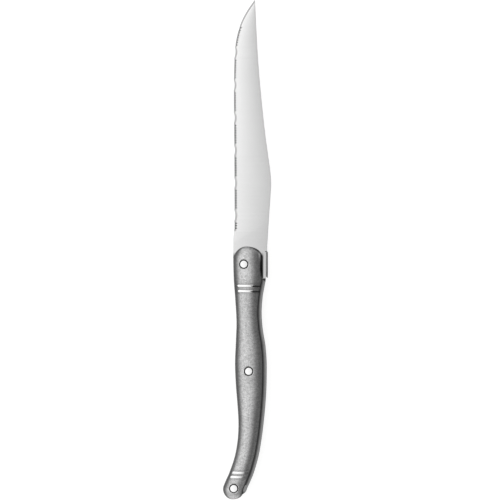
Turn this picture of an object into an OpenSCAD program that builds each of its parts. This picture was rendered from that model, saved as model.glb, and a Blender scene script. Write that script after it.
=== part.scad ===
// Table steak knife with a riveted metal handle, lying flat.
// Y runs from the butt to the tip, X from the cutting edge to the back, Z through the thickness.
// The pieces are drawn with Y = 0 at the front of the handle and Z = 0 in the middle of the steel,
// and then set down so that the middle of the outline is the origin and the lower scale rests on Z = 0.

/* [Blade] */
// Length from the front of the handle to the tip
blade_length = 113.4; // [95:0.1:130]
// Greatest width, from the cutting edge to the hump of the spine
blade_width = 17; // [15:0.1:19]
// Thickness of the steel at the hump, the lug and the tang
blade_stock = 1.5; // [1.2:0.1:2]
// Thickness behind the cutting edge at the heel
heel_edge = 0.36; // [0.3:0.02:0.5]
// Thickness behind the cutting edge where it starts to curve up to the tip
front_edge = 0.2; // [0.16:0.02:0.28]
// Angle of the edge bevel, which is ground on the upper side only
bevel_angle = 20; // [16:1:28]
// Radius in which the ground flank runs out before the handle
plunge_radius = 30; // [20:1:40]
// Full thickness left between the handle and the ground flank
ricasso_length = 1.6; // [1:0.1:3]

/* [Teeth] */
// Distance between neighbouring teeth
tooth_pitch = 1.13; // [1:0.01:1.3]
// Radius of the gullet between two teeth
gullet_radius = 0.5; // [0.4:0.02:0.6]
// Depth of a gullet below the bevel
gullet_depth = 0.12; // [0.08:0.01:0.16]
// Teeth in one group
teeth_in_group = 8; // [6:1:8]
// Length of the plain scallop between two groups
scallop_length = 5; // [4:0.1:5.6]
// Depth of a scallop below the bevel
scallop_depth = 0.15; // [0.1:0.01:0.2]
// Distance from one scallop to the next
scallop_pitch = 15; // [14.5:0.1:16]
// Distance from the handle to the middle of the first scallop
first_scallop = 14.2; // [13:0.1:15]
// Distance from the handle to the start of the teeth
toothed_from = 7; // [6:0.1:8]

/* [Handle] */
// Length of the handle
handle_length = 116.6; // [105:0.1:130]
// Width that the handle outline is drawn to
handle_width = 14; // [12.5:0.1:15.5]
// Greatest thickness over both scales
handle_thickness = 9.8; // [8:0.1:12]
// Length of the rounded front corner on the belly side
nose_belly_length = 6.5; // [5:0.1:8]
// Length of the rounded front corner on the back
nose_back_length = 5; // [3.5:0.1:6.5]
// Length over which the crown rises behind the nose
nose_rise = 4.5; // [3:0.1:10]
// Length of the rounded butt on the belly side
butt_belly_length = 5.8; // [4.5:0.1:7]
// Length of the rounded butt on the back
butt_back_length = 2.4; // [2:0.1:4]
// Length over which the crown falls to the butt
butt_fall = 8; // [6:0.1:10]
// Break of the edge where the two scales meet
seam_chamfer = 0.15; // [0.1:0.05:0.3]

/* [Grooves] */
// Width of a groove across the crown
groove_width = 1.5; // [1:0.1:1.8]
// Depth of a groove
groove_depth = 0.35; // [0.2:0.05:0.5]
// Distance between the two front grooves
front_groove_spacing = 2.45; // [2.2:0.05:3]
// Distance between the two butt grooves
butt_groove_spacing = 2; // [1.9:0.05:3]

/* [Tang and lug] */
// Length of the tang past the middle rivet
tang_past_rivet = 8.2; // [5:0.1:12]
// Wall of the scale between the belly and the tang
tang_wall = 1.9; // [1.5:0.1:2.4]
// Web of the scale between the tang and the spring
tang_web = 0.5; // [0.4:0.1:1]
// Radius of the corners at the end of the tang
tang_corner = 2; // [1:0.1:2.4]
// Depth to which the full width of the blade is let into the handle
heel_depth = 8; // [7:0.1:9]
// Distance from the front of the handle to the lug's shoulder
lug_front = 2.4; // [2:0.1:3]
// Distance from the front of the handle to the end of the lug
lug_end = 14.7; // [13.5:0.1:16]
// Reach of the lug beyond the back of the scales
lug_reach = 1.6; // [1.4:0.1:2.2]
// Radius of the lug's outer corner
lug_corner = 1.2; // [0.6:0.1:1.4]
// Length of the tongue that hooks the spring into the lug
tongue_length = 2.6; // [2:0.1:3]
// Width of that tongue
tongue_width = 1.4; // [1.2:0.1:1.6]
// Depth of the middle of that tongue below the back
tongue_inset = 0.475; // [0.35:0.025:0.6]

/* [Spring] */
// Thickness of the spring
spring_thickness = 3; // [2.4:0.1:3.6]
// Height by which the spring stands proud of the back
spring_proud = 1.45; // [0.8:0.05:1.7]
// Depth to which the spring is let in between the scales
spring_depth = 2.1; // [1.8:0.1:2.4]
// Wall of the scale round the tail of the spring
tail_wall = 1.6; // [1.2:0.1:2]

/* [Fly plate] */
// Length of the plate on the back of the lug
fly_length = 12; // [10.5:0.1:12.2]
// Greatest width of the plate
fly_width = 5.8; // [5:0.1:7]
// Thickness of the plate at its rim
fly_thickness = 0.95; // [0.7:0.05:1.1]
// Height of the raised body and wings
fly_relief = 0.2; // [0.12:0.01:0.3]
// Depth to which the lug is let into the plate
fly_seat = 0.3; // [0.2:0.05:0.4]

/* [Rivets] */
// Diameter of the rivet shank
rivet_shank = 2.5; // [2:0.1:2.8]
// Diameter of the domed head
rivet_head = 3.5; // [3.2:0.1:3.8]
// Diameter of the recess round the head
rivet_recess = 4.2; // [4:0.1:4.6]
// Depth of the recess below the surface at its middle
recess_depth = 0.7; // [0.7:0.05:0.9]
// Height of the straight rim of the head
rivet_rim = 0.4; // [0.25:0.05:0.45]
// Height of the dome above the rim
rivet_dome = 0.25; // [0.2:0.05:0.4]

/* [Fit] */
// Clearance round everything that is let in
fit_clearance = 0.05; // [0.02:0.01:0.1]

/* [Hidden] */
$fn = 64;

// Overrun of every cut beyond the solid that it cuts
overrun = 2;
// Length left off the ends of a scale, where its loft closes
end_flat = 0.06;
// Exponent of the scale's cross-section: 2 is an ellipse
section_power = 2.2;

// Outline of the blade: shares of the blade length, then of the blade width
edge_shares = [
    [0, -0.024], [0.034, -0.024], [0.068, -0.002], [0.2, 0], [0.42, -0.008], [0.64, -0.016],
    [0.75, -0.003], [0.81, 0.022], [0.86, 0.08], [0.91, 0.19], [0.955, 0.345], [1, 0.55]
];
spine_shares = [
    [0, 0.894], [0.12, 0.944], [0.21, 0.986], [0.256, 1], [0.3, 0.982], [0.36, 0.928],
    [0.46, 0.838], [0.6, 0.738], [0.74, 0.656], [0.88, 0.601], [1, 0.566]
];
// Place of the hump and of the last straight stretch of the edge, in blade lengths
hump_share = 0.256;
straight_edge_share = 0.8;

// Outline of one scale: shares of the handle length, then of the handle width
belly_shares = [
    [0, -0.44], [0.07, -0.44], [0.14, -0.42], [0.21, -0.375], [0.3, -0.335], [0.38, -0.358],
    [0.465, -0.384], [0.55, -0.354], [0.63, -0.3], [0.7, -0.27], [0.767, -0.299], [0.83, -0.393],
    [0.893, -0.568], [0.935, -0.723], [0.957, -0.782], [1, -0.8]
];
back_shares = [
    [0, 0.516], [0.07, 0.52], [0.13, 0.524], [0.165, 0.474], [0.2, 0.424], [0.262, 0.391],
    [0.325, 0.426], [0.388, 0.512], [0.451, 0.554], [0.514, 0.556], [0.578, 0.541], [0.64, 0.504],
    [0.704, 0.45], [0.767, 0.38], [0.83, 0.285], [0.893, 0.136], [0.925, 0.03], [0.957, -0.084],
    [1, -0.18]
];
// Crown of the scale along the handle, as a share of half the thickness
crown_shares = [
    [0, 0.98], [0.07, 1], [0.17, 0.95], [0.3, 0.88], [0.47, 1], [0.6, 0.94], [0.71, 0.87],
    [0.9, 0.92], [1, 0.9]
];
// Place of the butt's end across the handle
butt_end_share = -0.46;
// How far the spring stands proud along the handle, where 1 is its full height
proud_shares = [[0, 1], [0.9, 1], [0.955, 0.95], [0.97, 0.75], [0.982, -0.3], [0.99, -1.3], [1, -1.6]];
// Where the spring begins to widen into its tail, and where it has its full width
tail_start_share = 0.86;
tail_full_share = 0.95;
// End of the spring's tail, in handle lengths
tail_end_share = 0.982;

// Rivets: share of the handle length, then of the handle width
front_rivet_shares = [0.0703, -0.0926];
middle_rivet_shares = [0.4923, 0.066];
butt_rivet_shares = [0.9546, -0.424];
// Middle of each pair of grooves, in handle lengths
front_groove_share = 0.1657;
butt_groove_share = 0.901;
// Part of the half width that a groove is bent to follow
groove_reach_share = 0.85;

// Outline of the fly plate: shares of its length from the front, then of its half width
fly_shares = [
    [0, 0], [0.03, 0.26], [0.1, 0.42], [0.18, 0.44], [0.27, 0.4], [0.42, 0.72], [0.6, 1],
    [0.76, 0.93], [0.89, 0.62], [0.97, 0.3], [1, 0]
];
// Head of the fly: middle along and radius, as shares of the plate's length
fly_head_shares = [0.13, 0.085];
// Body of the fly: start, end and greatest width, as shares of the plate
fly_body_shares = [0.24, 0.94, 0.34];
// Wing of the fly: middle along and across, half length and half width, as shares of the plate
fly_wing_shares = [0.55, 0.5, 0.3, 0.3];
// Turn of a wing away from the body
fly_wing_angle = 14;

// Steps along the blade, the handle, one rounded end, across a scale and round an arc
blade_steps = 40;
handle_steps = 28;
end_steps = 10;
section_steps = 24;
arc_steps = 8;

// Curve through a table of points, with a smooth tangent at each point
function piece_of(table, s, i = 0) =
    i >= len(table) - 2 || s <= table[i + 1][0] ? i : piece_of(table, s, i + 1);
function slope_of(table, i) =
    let (a = table[max(i - 1, 0)], b = table[min(i + 1, len(table) - 1)])
    (b[1] - a[1]) / (b[0] - a[0]);
function curve_at(table, s) =
    let (
        i = piece_of(table, s),
        a = table[i],
        b = table[i + 1],
        span = b[0] - a[0],
        u = min(max((s - a[0]) / span, 0), 1),
        slope_a = slope_of(table, i) * span,
        slope_b = slope_of(table, i + 1) * span
    )
    a[1] * (2 * u^3 - 3 * u^2 + 1) + slope_a * (u^3 - 2 * u^2 + u)
    + b[1] * (3 * u^2 - 2 * u^3) + slope_b * (u^3 - u^2);

// Quarter ellipse from an end point to the base line, and the rise of the crown from an end
function rounded(base, tip, d, length) =
    d >= length ? base : tip + (base - tip) * sqrt(1 - (1 - d / length)^2);
function rise(d, length) =
    d >= length ? 1 : (1 - (1 - d / length)^section_power)^(1 / section_power);
function arc(centre, radius, from, to) = [
    for (k = [0:arc_steps])
        let (a = from + (to - from) * k / arc_steps)
        centre + radius * [cos(a), sin(a)]
];

// Belly and back of the scales, spring included, at a share of the handle length
butt_end_x = handle_width * butt_end_share;
function handle_y(t) = -t * handle_length;
function belly_at(t) =
    rounded(
        rounded(handle_width * curve_at(belly_shares, t), 0, t * handle_length, nose_belly_length),
        butt_end_x, (1 - t) * handle_length, butt_belly_length
    );
function back_at(t) =
    rounded(
        rounded(handle_width * curve_at(back_shares, t), 0, t * handle_length, nose_back_length),
        butt_end_x, (1 - t) * handle_length, butt_back_length
    );
function crown_at(t) =
    handle_thickness / 2 * curve_at(crown_shares, t)
    * rise(t * handle_length, nose_rise) * rise((1 - t) * handle_length, butt_fall);
function half_width_at(t) = (back_at(t) - belly_at(t)) / 2;
function middle_at(t) = (back_at(t) + belly_at(t)) / 2;
function section_share(u) = (1 - abs(u)^section_power)^(1 / section_power);
function surface_at(t, x) = crown_at(t) * section_share((x - middle_at(t)) / half_width_at(t));
function spring_outer_at(t) = back_at(t) + spring_proud * curve_at(proud_shares, t);
function spring_inner_at(t) =
    let (
        along = min(max((t - tail_start_share) / (tail_full_share - tail_start_share), 0), 1),
        plain = back_at(t) - spring_depth,
        full = min(belly_at(t) + tail_wall, spring_outer_at(t) - tail_wall)
    )
    plain + (full - plain) * along^2 * (3 - 2 * along);

// Cutting edge and spine of the blade, at a share of the blade length
edge_line_x = belly_at(heel_depth / handle_length) - blade_width * edge_shares[0][1];
function edge_at(s) = edge_line_x + blade_width * curve_at(edge_shares, s);
function spine_at(s) = edge_line_x + blade_width * curve_at(spine_shares, s);
blade_places = [for (k = [0:blade_steps]) k / blade_steps];

// Ground flank: half thickness at the heel's edge, slope along the edge and slope across the blade
hump_y = hump_share * blade_length;
hump_x = spine_at(hump_share);
flank_fall = (front_edge - heel_edge) / 2 / (straight_edge_share * blade_length);
flank_slope = (blade_stock / 2 - heel_edge / 2 - flank_fall * hump_y) / (hump_x - edge_line_x);
function flank_at(x, y) = heel_edge / 2 + flank_slope * (x - edge_line_x) + flank_fall * y;
flank_turn = -atan(flank_slope);
flank_tip = atan(flank_fall * cos(flank_turn));

// Lug at the back of the tang and the slot that takes the spring's tongue
lug_back = back_at(lug_end / handle_length) + lug_reach;
tongue_x = back_at(lug_end / handle_length) - tongue_inset;
spring_front = lug_end + fit_clearance;

// Middle of the outline and height of the steel above the surface that the knife lies on
spine_far_x = max([for (s = blade_places) spine_at(s)]);
handle_places = concat(
    [for (k = [0:end_steps - 1]) max(nose_rise * (k / end_steps)^2, end_flat) / handle_length],
    [
        for (k = [0:handle_steps])
            (nose_rise + (handle_length - nose_rise - butt_fall) * k / handle_steps) / handle_length
    ],
    [for (k = [1:end_steps]) 1 - max(butt_fall * (1 - k / end_steps)^2, end_flat) / handle_length]
);
belly_far_x = min([for (t = handle_places) belly_at(t)]);
rest_height = max([for (t = handle_places) crown_at(t)]);
middle_x = (spine_far_x + belly_far_x) / 2;
middle_y = (blade_length - handle_length) / 2;

module set_down() {
    translate([-middle_x, -middle_y, rest_height]) children();
}

// Flat outline made solid, centred on the middle of the steel
module plate(points, thickness) {
    translate([0, 0, -thickness / 2]) linear_extrude(thickness) polygon(points);
}

// Outline of the tang bar, grown by a clearance
tang_length = handle_length * middle_rivet_shares[0] + tang_past_rivet;
function tang_left(t) = belly_at(t) + tang_wall;
function tang_right(t) = back_at(t) - spring_depth - tang_web;
function tang_side_places(from) = [
    for (k = [0:arc_steps])
        (from + (tang_length - tang_corner - from) * k / arc_steps) / handle_length
];
tang_tip_t = (tang_length - tang_corner) / handle_length;
function tang_belly_side(from, gap) = concat(
    [for (t = tang_side_places(from)) [tang_left(t) - gap, handle_y(t)]],
    arc(
        [tang_left(tang_tip_t) + tang_corner, handle_y(tang_tip_t)],
        tang_corner + gap, 180, 270
    )
);
function tang_back_side(from, gap) = concat(
    arc(
        [tang_right(tang_tip_t) - tang_corner, handle_y(tang_tip_t)],
        tang_corner + gap, 270, 360
    ),
    [
        for (k = [arc_steps:-1:0])
            let (t = tang_side_places(from)[k])
            [tang_right(t) + gap, handle_y(t)]
    ]
);

// Blade with lug and tang, as one outline from the tip round the edge and back up the spine
function blade_outline() = concat(
    [for (k = [blade_steps:-1:0]) [edge_at(k / blade_steps), blade_length * k / blade_steps]],
    [[edge_at(0), -heel_depth]],
    tang_belly_side(heel_depth, 0),
    tang_back_side(lug_end, 0),
    [
        [tongue_x - tongue_width / 2 - fit_clearance, -lug_end],
        [tongue_x - tongue_width / 2 - fit_clearance, -lug_end + tongue_length + fit_clearance],
        [tongue_x + tongue_width / 2 + fit_clearance, -lug_end + tongue_length + fit_clearance],
        [tongue_x + tongue_width / 2 + fit_clearance, -lug_end]
    ],
    arc([lug_back - lug_corner, -lug_end + lug_corner], lug_corner, -90, 0),
    [[lug_back, -lug_front], [spine_at(0), -lug_front]],
    [for (k = [0:blade_steps]) [spine_at(k / blade_steps), blade_length * k / blade_steps]]
);

// Cut that leaves one flank ground flat and runs out in an arc before the handle
module flank_cut() {
    reach = blade_width + 2 * overrun;
    depth = blade_stock;
    run_out = sqrt(depth * (2 * plunge_radius - depth));
    start_y = ricasso_length + sqrt(2 * plunge_radius * (flank_at(hump_x, 0) - heel_edge / 2));
    turn = asin(run_out / plunge_radius);
    profile = concat(
        [[blade_length + overrun - start_y, depth], [blade_length + overrun - start_y, 0]],
        [
            for (k = [0:arc_steps])
                let (a = turn * k / arc_steps)
                plunge_radius * [-sin(a), 1 - cos(a)]
        ]
    );
    translate([hump_x, start_y, flank_at(hump_x, start_y)])
        rotate([flank_tip, flank_turn, 0])
        translate([overrun, 0, 0])
        rotate([90, 0, -90])
        linear_extrude(reach) mirror([1, 0]) polygon(profile);
}

// Place on the cutting edge, its outward turn and the bevel's foot on the lower side
function edge_turn(s) =
    let (step = 1 / blade_steps, a = max(s - step, 0), b = min(s + step, 1))
    atan2(edge_at(b) - edge_at(a), (b - a) * blade_length);
function edge_foot(s) = [edge_at(s), s * blade_length, -flank_at(edge_at(s), s * blade_length)];

// Scallops between the groups of teeth dip below the bevel in a shallow arch
scallop_count = floor((straight_edge_share * blade_length - first_scallop) / scallop_pitch) + 1;
function scallop_dip(y) =
    let (
        k = round((y - first_scallop) / scallop_pitch),
        off = 2 * (y - first_scallop - k * scallop_pitch) / scallop_length
    )
    k < 0 || k >= scallop_count ? 0 : scallop_depth * max(1 - off^2, 0);

// Ring of the bevel's cutter: the part above the bevel, from outside the edge to above the steel
function bevel_ring(s) =
    let (
        foot = edge_foot(s),
        inward = [cos(edge_turn(s)), -sin(edge_turn(s)), 0],
        climb = tan(bevel_angle),
        low = foot - [0, 0, scallop_dip(s * blade_length) / cos(bevel_angle)],
        length = (blade_stock / 4 - 2 * low[2]) / climb
    )
    [
        low - overrun * inward - [0, 0, overrun * climb],
        low + length * inward + [0, 0, length * climb],
        low - overrun * inward + [0, 0, length * climb]
    ];
// The cutter has about one ring for each tooth, so that the scallops come out round
bevel_steps = round((blade_length - toothed_from) / tooth_pitch);
module bevel_cut() {
    from = toothed_from / blade_length;
    span = 1 + overrun / blade_length - from;
    rings = [for (k = [0:bevel_steps]) bevel_ring(from + span * k / bevel_steps)];
    last = 3 * bevel_steps;
    polyhedron(
        points = [for (ring = rings) each ring],
        faces = concat(
            [[2, 1, 0], [last, last + 1, last + 2]],
            [
                for (k = [0:bevel_steps - 1], j = [0:2])
                    let (a = 3 * k + j, b = 3 * k + (j + 1) % 3)
                    each [[a, b, b + 3], [a, b + 3, a + 3]]
            ]
        )
    );
}

// Round gullets between the teeth, laid along the bevel and square to the edge
module gullet(y) {
    s = y / blade_length;
    length = blade_stock / sin(bevel_angle);
    translate(edge_foot(s))
        rotate([0, 0, -edge_turn(s)])
        rotate([0, -bevel_angle, 0])
        translate([-overrun, 0, gullet_radius - gullet_depth])
        rotate([0, 90, 0])
        cylinder(r = gullet_radius, h = length + overrun);
}
module teeth_cuts() {
    for (k = [-1:scallop_count - 1], i = [0:teeth_in_group - 1]) {
        middle = first_scallop + (k + 1 / 2) * scallop_pitch;
        y = middle + (i - (teeth_in_group - 1) / 2) * tooth_pitch;
        if (y > toothed_from + gullet_radius && y < blade_length - overrun) gullet(y);
    }
}

module rivet_hole(place, diameter) {
    translate([handle_width * place[1], handle_y(place[0]), -handle_thickness / 2 - overrun])
        cylinder(d = diameter, h = handle_thickness + 2 * overrun);
}

module blade() {
    color("gainsboro") set_down()
        difference() {
            plate(blade_outline(), blade_stock);
            flank_cut();
            mirror([0, 0, 1]) flank_cut();
            bevel_cut();
            teeth_cuts();
            rivet_hole(front_rivet_shares, rivet_shank + 2 * fit_clearance);
            rivet_hole(middle_rivet_shares, rivet_shank + 2 * fit_clearance);
        }
}

// Spring along the back, grown by a clearance
spring_places = [
    for (k = [0:handle_steps])
        let (from = spring_front / handle_length)
        from + (tail_end_share - from) * k / handle_steps
];
function spring_outline(gap) = concat(
    [for (t = spring_places) [spring_inner_at(t) - gap, handle_y(t)]],
    [
        for (k = [handle_steps:-1:0])
            let (t = spring_places[k])
            [spring_outer_at(t) + gap, handle_y(t)]
    ]
);
module back_spring() {
    color("darkgray") set_down()
        difference() {
            union() {
                plate(spring_outline(0), spring_thickness);
                translate([tongue_x - tongue_width / 2, -lug_end - tongue_length, -blade_stock / 2])
                    cube([tongue_width, 2 * tongue_length, blade_stock]);
            }
            rivet_hole(butt_rivet_shares, rivet_shank + 2 * fit_clearance);
        }
}

// Half of the handle as a loft of domed sections from the nose to the butt
function scale_ring(t) =
    let (
        left = belly_at(t),
        right = back_at(t),
        rise_height = max(crown_at(t) - seam_chamfer, 0),
        power = 2 / section_power
    )
    concat(
        [[left + seam_chamfer, handle_y(t), 0]],
        [
            for (k = [0:section_steps])
                let (
                    a = 180 * (1 - k / section_steps),
                    u = sign(cos(a)) * abs(cos(a))^power,
                    height = abs(sin(a))^power
                )
                [
                    middle_at(t) + half_width_at(t) * u,
                    handle_y(t),
                    seam_chamfer + rise_height * height
                ]
        ],
        [[right - seam_chamfer, handle_y(t), 0]]
    );
module scale_body() {
    rings = [for (t = handle_places) scale_ring(t)];
    size = section_steps + 3;
    last = (len(rings) - 1) * size;
    polyhedron(
        points = [for (ring = rings) each ring],
        faces = concat(
            [[for (j = [size - 1:-1:0]) j], [for (j = [0:size - 1]) last + j]],
            [
                for (k = [0:len(rings) - 2], j = [0:size - 1])
                    let (a = k * size + j, b = k * size + (j + 1) % size)
                    each [[a, b, b + size], [a, b + size, a + size]]
            ]
        )
    );
}

// Room for the blade, its lug and its tang
module blade_pocket() {
    depth = blade_stock + 2 * fit_clearance;
    reach = handle_width + overrun;
    plate(
        concat(
            [[-reach, overrun], [-reach, -heel_depth - fit_clearance]],
            [[tang_left(heel_depth / handle_length) - fit_clearance, -heel_depth - fit_clearance]],
            tang_belly_side(heel_depth + fit_clearance, fit_clearance),
            tang_back_side(spring_front, fit_clearance),
            [[reach, -spring_front], [reach, overrun]]
        ),
        depth
    );
}

// Groove across the crown, bent to follow it
module groove(t) {
    drop = crown_at(t) * (1 - section_share(groove_reach_share));
    chord = half_width_at(t) * groove_reach_share;
    bend = (chord^2 + drop^2) / (2 * drop);
    cutter = ((groove_width / 2)^2 + groove_depth^2) / (2 * groove_depth);
    translate([middle_at(t), handle_y(t), crown_at(t) - bend])
        rotate([90, 0, 0])
        rotate_extrude() translate([bend - groove_depth + cutter, 0]) circle(r = cutter);
}
module groove_pair(t, spacing) {
    for (side = [-1, 1]) groove(t + side * spacing / 2 / handle_length);
}

// Seat of a rivet head below the surface of the scale
function rivet_seat(place) = surface_at(place[0], handle_width * place[1]) - recess_depth;
module rivet_socket(place) {
    rivet_hole(place, rivet_shank + 2 * fit_clearance);
    translate([handle_width * place[1], handle_y(place[0]), rivet_seat(place)])
        cylinder(d = rivet_recess, h = handle_thickness);
}

module scale_half() {
    difference() {
        scale_body();
        blade_pocket();
        plate(spring_outline(fit_clearance), spring_thickness + 2 * fit_clearance);
        rivet_socket(front_rivet_shares);
        rivet_socket(middle_rivet_shares);
        rivet_socket(butt_rivet_shares);
        groove_pair(front_groove_share, front_groove_spacing);
        groove_pair(butt_groove_share, butt_groove_spacing);
    }
}
module front_scale() {
    color("silver") set_down() scale_half();
}
module rear_scale() {
    color("silver") set_down() mirror([0, 0, 1]) scale_half();
}

// Round pin with a domed head on each side
module rivet(place) {
    seat = rivet_seat(place);
    dome_radius = ((rivet_head / 2)^2 + rivet_dome^2) / (2 * rivet_dome);
    color("whitesmoke") set_down()
        translate([handle_width * place[1], handle_y(place[0]), 0]) {
            translate([0, 0, -seat - rivet_rim]) cylinder(d = rivet_shank, h = 2 * (seat + rivet_rim));
            for (side = [0, 1]) mirror([0, 0, side])
                translate([0, 0, seat])
                intersection() {
                    cylinder(d = rivet_head, h = rivet_rim + rivet_dome);
                    translate([0, 0, rivet_rim + rivet_dome - dome_radius]) sphere(r = dome_radius);
                }
        }
}
module front_rivet() {
    rivet(front_rivet_shares);
}
module middle_rivet() {
    rivet(middle_rivet_shares);
}
module butt_rivet() {
    rivet(butt_rivet_shares);
}

// Plate on the back of the lug, drawn with its length along X and then stood on the lug
function fly_outline() = concat(
    [for (k = [0:blade_steps]) let (s = k / blade_steps) [s, curve_at(fly_shares, s) / 2]],
    [for (k = [blade_steps - 1:-1:1]) let (s = k / blade_steps) [s, -curve_at(fly_shares, s) / 2]]
);
function oval(length, width) = [
    for (k = [0:handle_steps - 1])
        let (a = 360 * k / handle_steps)
        [length * cos(a), width * sin(a)]
];
module fly_body() {
    from = fly_length * fly_body_shares[0];
    to = fly_length * fly_body_shares[1];
    translate([(from + to) / 2, 0])
        polygon(oval((to - from) / 2, fly_width * fly_body_shares[2] / 2));
}
module fly_head() {
    translate([fly_length * fly_head_shares[0], 0]) circle(r = fly_length * fly_head_shares[1]);
}
module fly_wing() {
    translate([fly_length * fly_wing_shares[0], fly_width / 2 * fly_wing_shares[1]])
        rotate(fly_wing_angle)
        polygon(oval(fly_length * fly_wing_shares[2], fly_width / 2 * fly_wing_shares[3]));
}
module fly_plate() {
    groove_height = blade_stock + 2 * fit_clearance;
    color("whitesmoke") set_down()
        translate([lug_back, -lug_front - fit_clearance, 0])
        rotate([0, 90, 0]) rotate([0, 0, -90])
        difference() {
            union() {
                translate([0, 0, -fly_seat]) linear_extrude(fly_thickness)
                    polygon([for (p = fly_outline()) [p[0] * fly_length, p[1] * fly_width]]);
                linear_extrude(fly_thickness - fly_seat + fly_relief) {
                    fly_head();
                    fly_body();
                }
                linear_extrude(fly_thickness - fly_seat + fly_relief / 2) {
                    fly_wing();
                    mirror([0, 1]) fly_wing();
                }
            }
            translate([-overrun, -groove_height / 2, -fly_seat - overrun])
                cube([fly_length + 2 * overrun, groove_height, overrun + fly_seat]);
        }
}

blade();
fly_plate();
back_spring();
front_scale();
rear_scale();
front_rivet();
middle_rivet();
butt_rivet();
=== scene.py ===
"""Table steak knife: its visible pieces, their finishes and a plain studio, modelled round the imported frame."""

import math

import bpy
from bpy.props import FloatProperty, FloatVectorProperty, IntProperty, PointerProperty
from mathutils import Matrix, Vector


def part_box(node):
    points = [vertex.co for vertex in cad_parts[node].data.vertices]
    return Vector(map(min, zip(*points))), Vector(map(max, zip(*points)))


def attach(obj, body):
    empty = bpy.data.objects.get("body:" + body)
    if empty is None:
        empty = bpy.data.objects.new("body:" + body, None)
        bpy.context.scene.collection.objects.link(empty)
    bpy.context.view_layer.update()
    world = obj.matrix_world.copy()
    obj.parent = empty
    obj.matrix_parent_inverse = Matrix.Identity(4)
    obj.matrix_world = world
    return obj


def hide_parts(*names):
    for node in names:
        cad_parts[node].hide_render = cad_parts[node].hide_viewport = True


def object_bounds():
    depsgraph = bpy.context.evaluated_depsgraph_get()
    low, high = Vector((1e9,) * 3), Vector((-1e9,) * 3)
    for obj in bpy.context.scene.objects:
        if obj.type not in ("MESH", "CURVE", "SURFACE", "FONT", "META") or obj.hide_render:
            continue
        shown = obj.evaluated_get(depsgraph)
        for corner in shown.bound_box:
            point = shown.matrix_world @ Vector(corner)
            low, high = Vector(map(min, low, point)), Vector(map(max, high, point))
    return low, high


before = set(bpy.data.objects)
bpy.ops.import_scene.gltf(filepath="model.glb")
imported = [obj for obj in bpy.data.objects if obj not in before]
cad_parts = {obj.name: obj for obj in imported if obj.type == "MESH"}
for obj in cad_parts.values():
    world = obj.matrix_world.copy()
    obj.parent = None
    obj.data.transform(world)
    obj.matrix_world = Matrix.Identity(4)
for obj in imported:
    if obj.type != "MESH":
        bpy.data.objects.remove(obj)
CAD_LOW, CAD_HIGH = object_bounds()

bl_info = {
    "name": "Steak knife",
    "version": (1, 0, 0),
    "blender": (4, 5, 0),
    "location": "View3D > Sidebar > Knife",
    "description": "Models the pieces of a table steak knife and lights them in a plain studio",
    "category": "Object",
}

MM = 0.001
BODY = "root"
RIVETS = ("front_rivet", "middle_rivet", "butt_rivet")
PIN_SIDES, HOLE_SIDES, RECESS_SIDES = 64, 48, 72
OVERRUN = 2 * MM
WHITE = (1.0, 1.0, 1.0, 1.0)

# Lengths below which corners are merged, slivers are dissolved and places count as the same
WELD = 0.0005 * MM
SLIVER = 0.003 * MM
TINY = 0.001 * MM

# Outline of the blade: shares of the blade length, then of the blade width
EDGE_SHARES = (
    (0, -0.024), (0.034, -0.024), (0.068, -0.002), (0.2, 0), (0.42, -0.008), (0.64, -0.016),
    (0.75, -0.003), (0.81, 0.022), (0.86, 0.08), (0.91, 0.19), (0.955, 0.345), (1, 0.55),
)
SPINE_SHARES = (
    (0, 0.894), (0.12, 0.944), (0.21, 0.986), (0.256, 1), (0.3, 0.982), (0.36, 0.928),
    (0.46, 0.838), (0.6, 0.738), (0.74, 0.656), (0.88, 0.601), (1, 0.566),
)
# Outline of the scales: shares of the handle length, then of the handle width
BELLY_SHARES = (
    (0, -0.44), (0.07, -0.44), (0.14, -0.42), (0.21, -0.375), (0.3, -0.335), (0.38, -0.358),
    (0.465, -0.384), (0.55, -0.354), (0.63, -0.3), (0.7, -0.27), (0.767, -0.299), (0.83, -0.393),
    (0.893, -0.568), (0.935, -0.723), (0.957, -0.782), (1, -0.8),
)
BACK_SHARES = (
    (0, 0.516), (0.07, 0.52), (0.13, 0.524), (0.165, 0.474), (0.2, 0.424), (0.262, 0.391),
    (0.325, 0.426), (0.388, 0.512), (0.451, 0.554), (0.514, 0.556), (0.578, 0.541), (0.64, 0.504),
    (0.704, 0.45), (0.767, 0.38), (0.83, 0.285), (0.893, 0.136), (0.925, 0.03), (0.957, -0.084),
    (1, -0.18),
)
# Crown of a scale along the handle, as a share of half the thickness
CROWN_SHARES = (
    (0, 0.98), (0.07, 1), (0.17, 0.95), (0.3, 0.88), (0.47, 1), (0.6, 0.94), (0.71, 0.87),
    (0.9, 0.92), (1, 0.9),
)
# How far the spring stands proud along the handle, where 1 is its full height
PROUD_SHARES = ((0, 1), (0.9, 1), (0.955, 0.95), (0.97, 0.75), (0.982, -0.3), (0.99, -1.3), (1, -1.6))
# Outline of the fly plate: shares of its length from the front, then of its half width
FLY_SHARES = (
    (0, 0), (0.03, 0.26), (0.1, 0.42), (0.18, 0.44), (0.27, 0.4), (0.42, 0.72), (0.6, 1),
    (0.76, 0.93), (0.89, 0.62), (0.97, 0.3), (1, 0),
)

HUMP_SHARE = 0.256
STRAIGHT_EDGE_SHARE = 0.8
BUTT_END_SHARE = -0.46
TAIL_SHARES = (0.86, 0.95, 0.982)
GROOVE_SHARES = (0.1657, 0.901)
SECTION_POWER = 2.2
TURN_UP_SHARE = 0.9
TIP_PLAIN = 2 * MM


def length(name, description, default, **limits):
    """A size in metres that the user can change."""
    return FloatProperty(
        name=name, description=description, default=default, min=0.0, precision=5,
        subtype="DISTANCE", unit="LENGTH", **limits
    )


def tint(name, description, level):
    """A neutral colour that the user can change."""
    return FloatVectorProperty(
        name=name, description=description, default=(level, level, level), min=0.0, max=1.0,
        subtype="COLOR", size=3
    )


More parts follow.
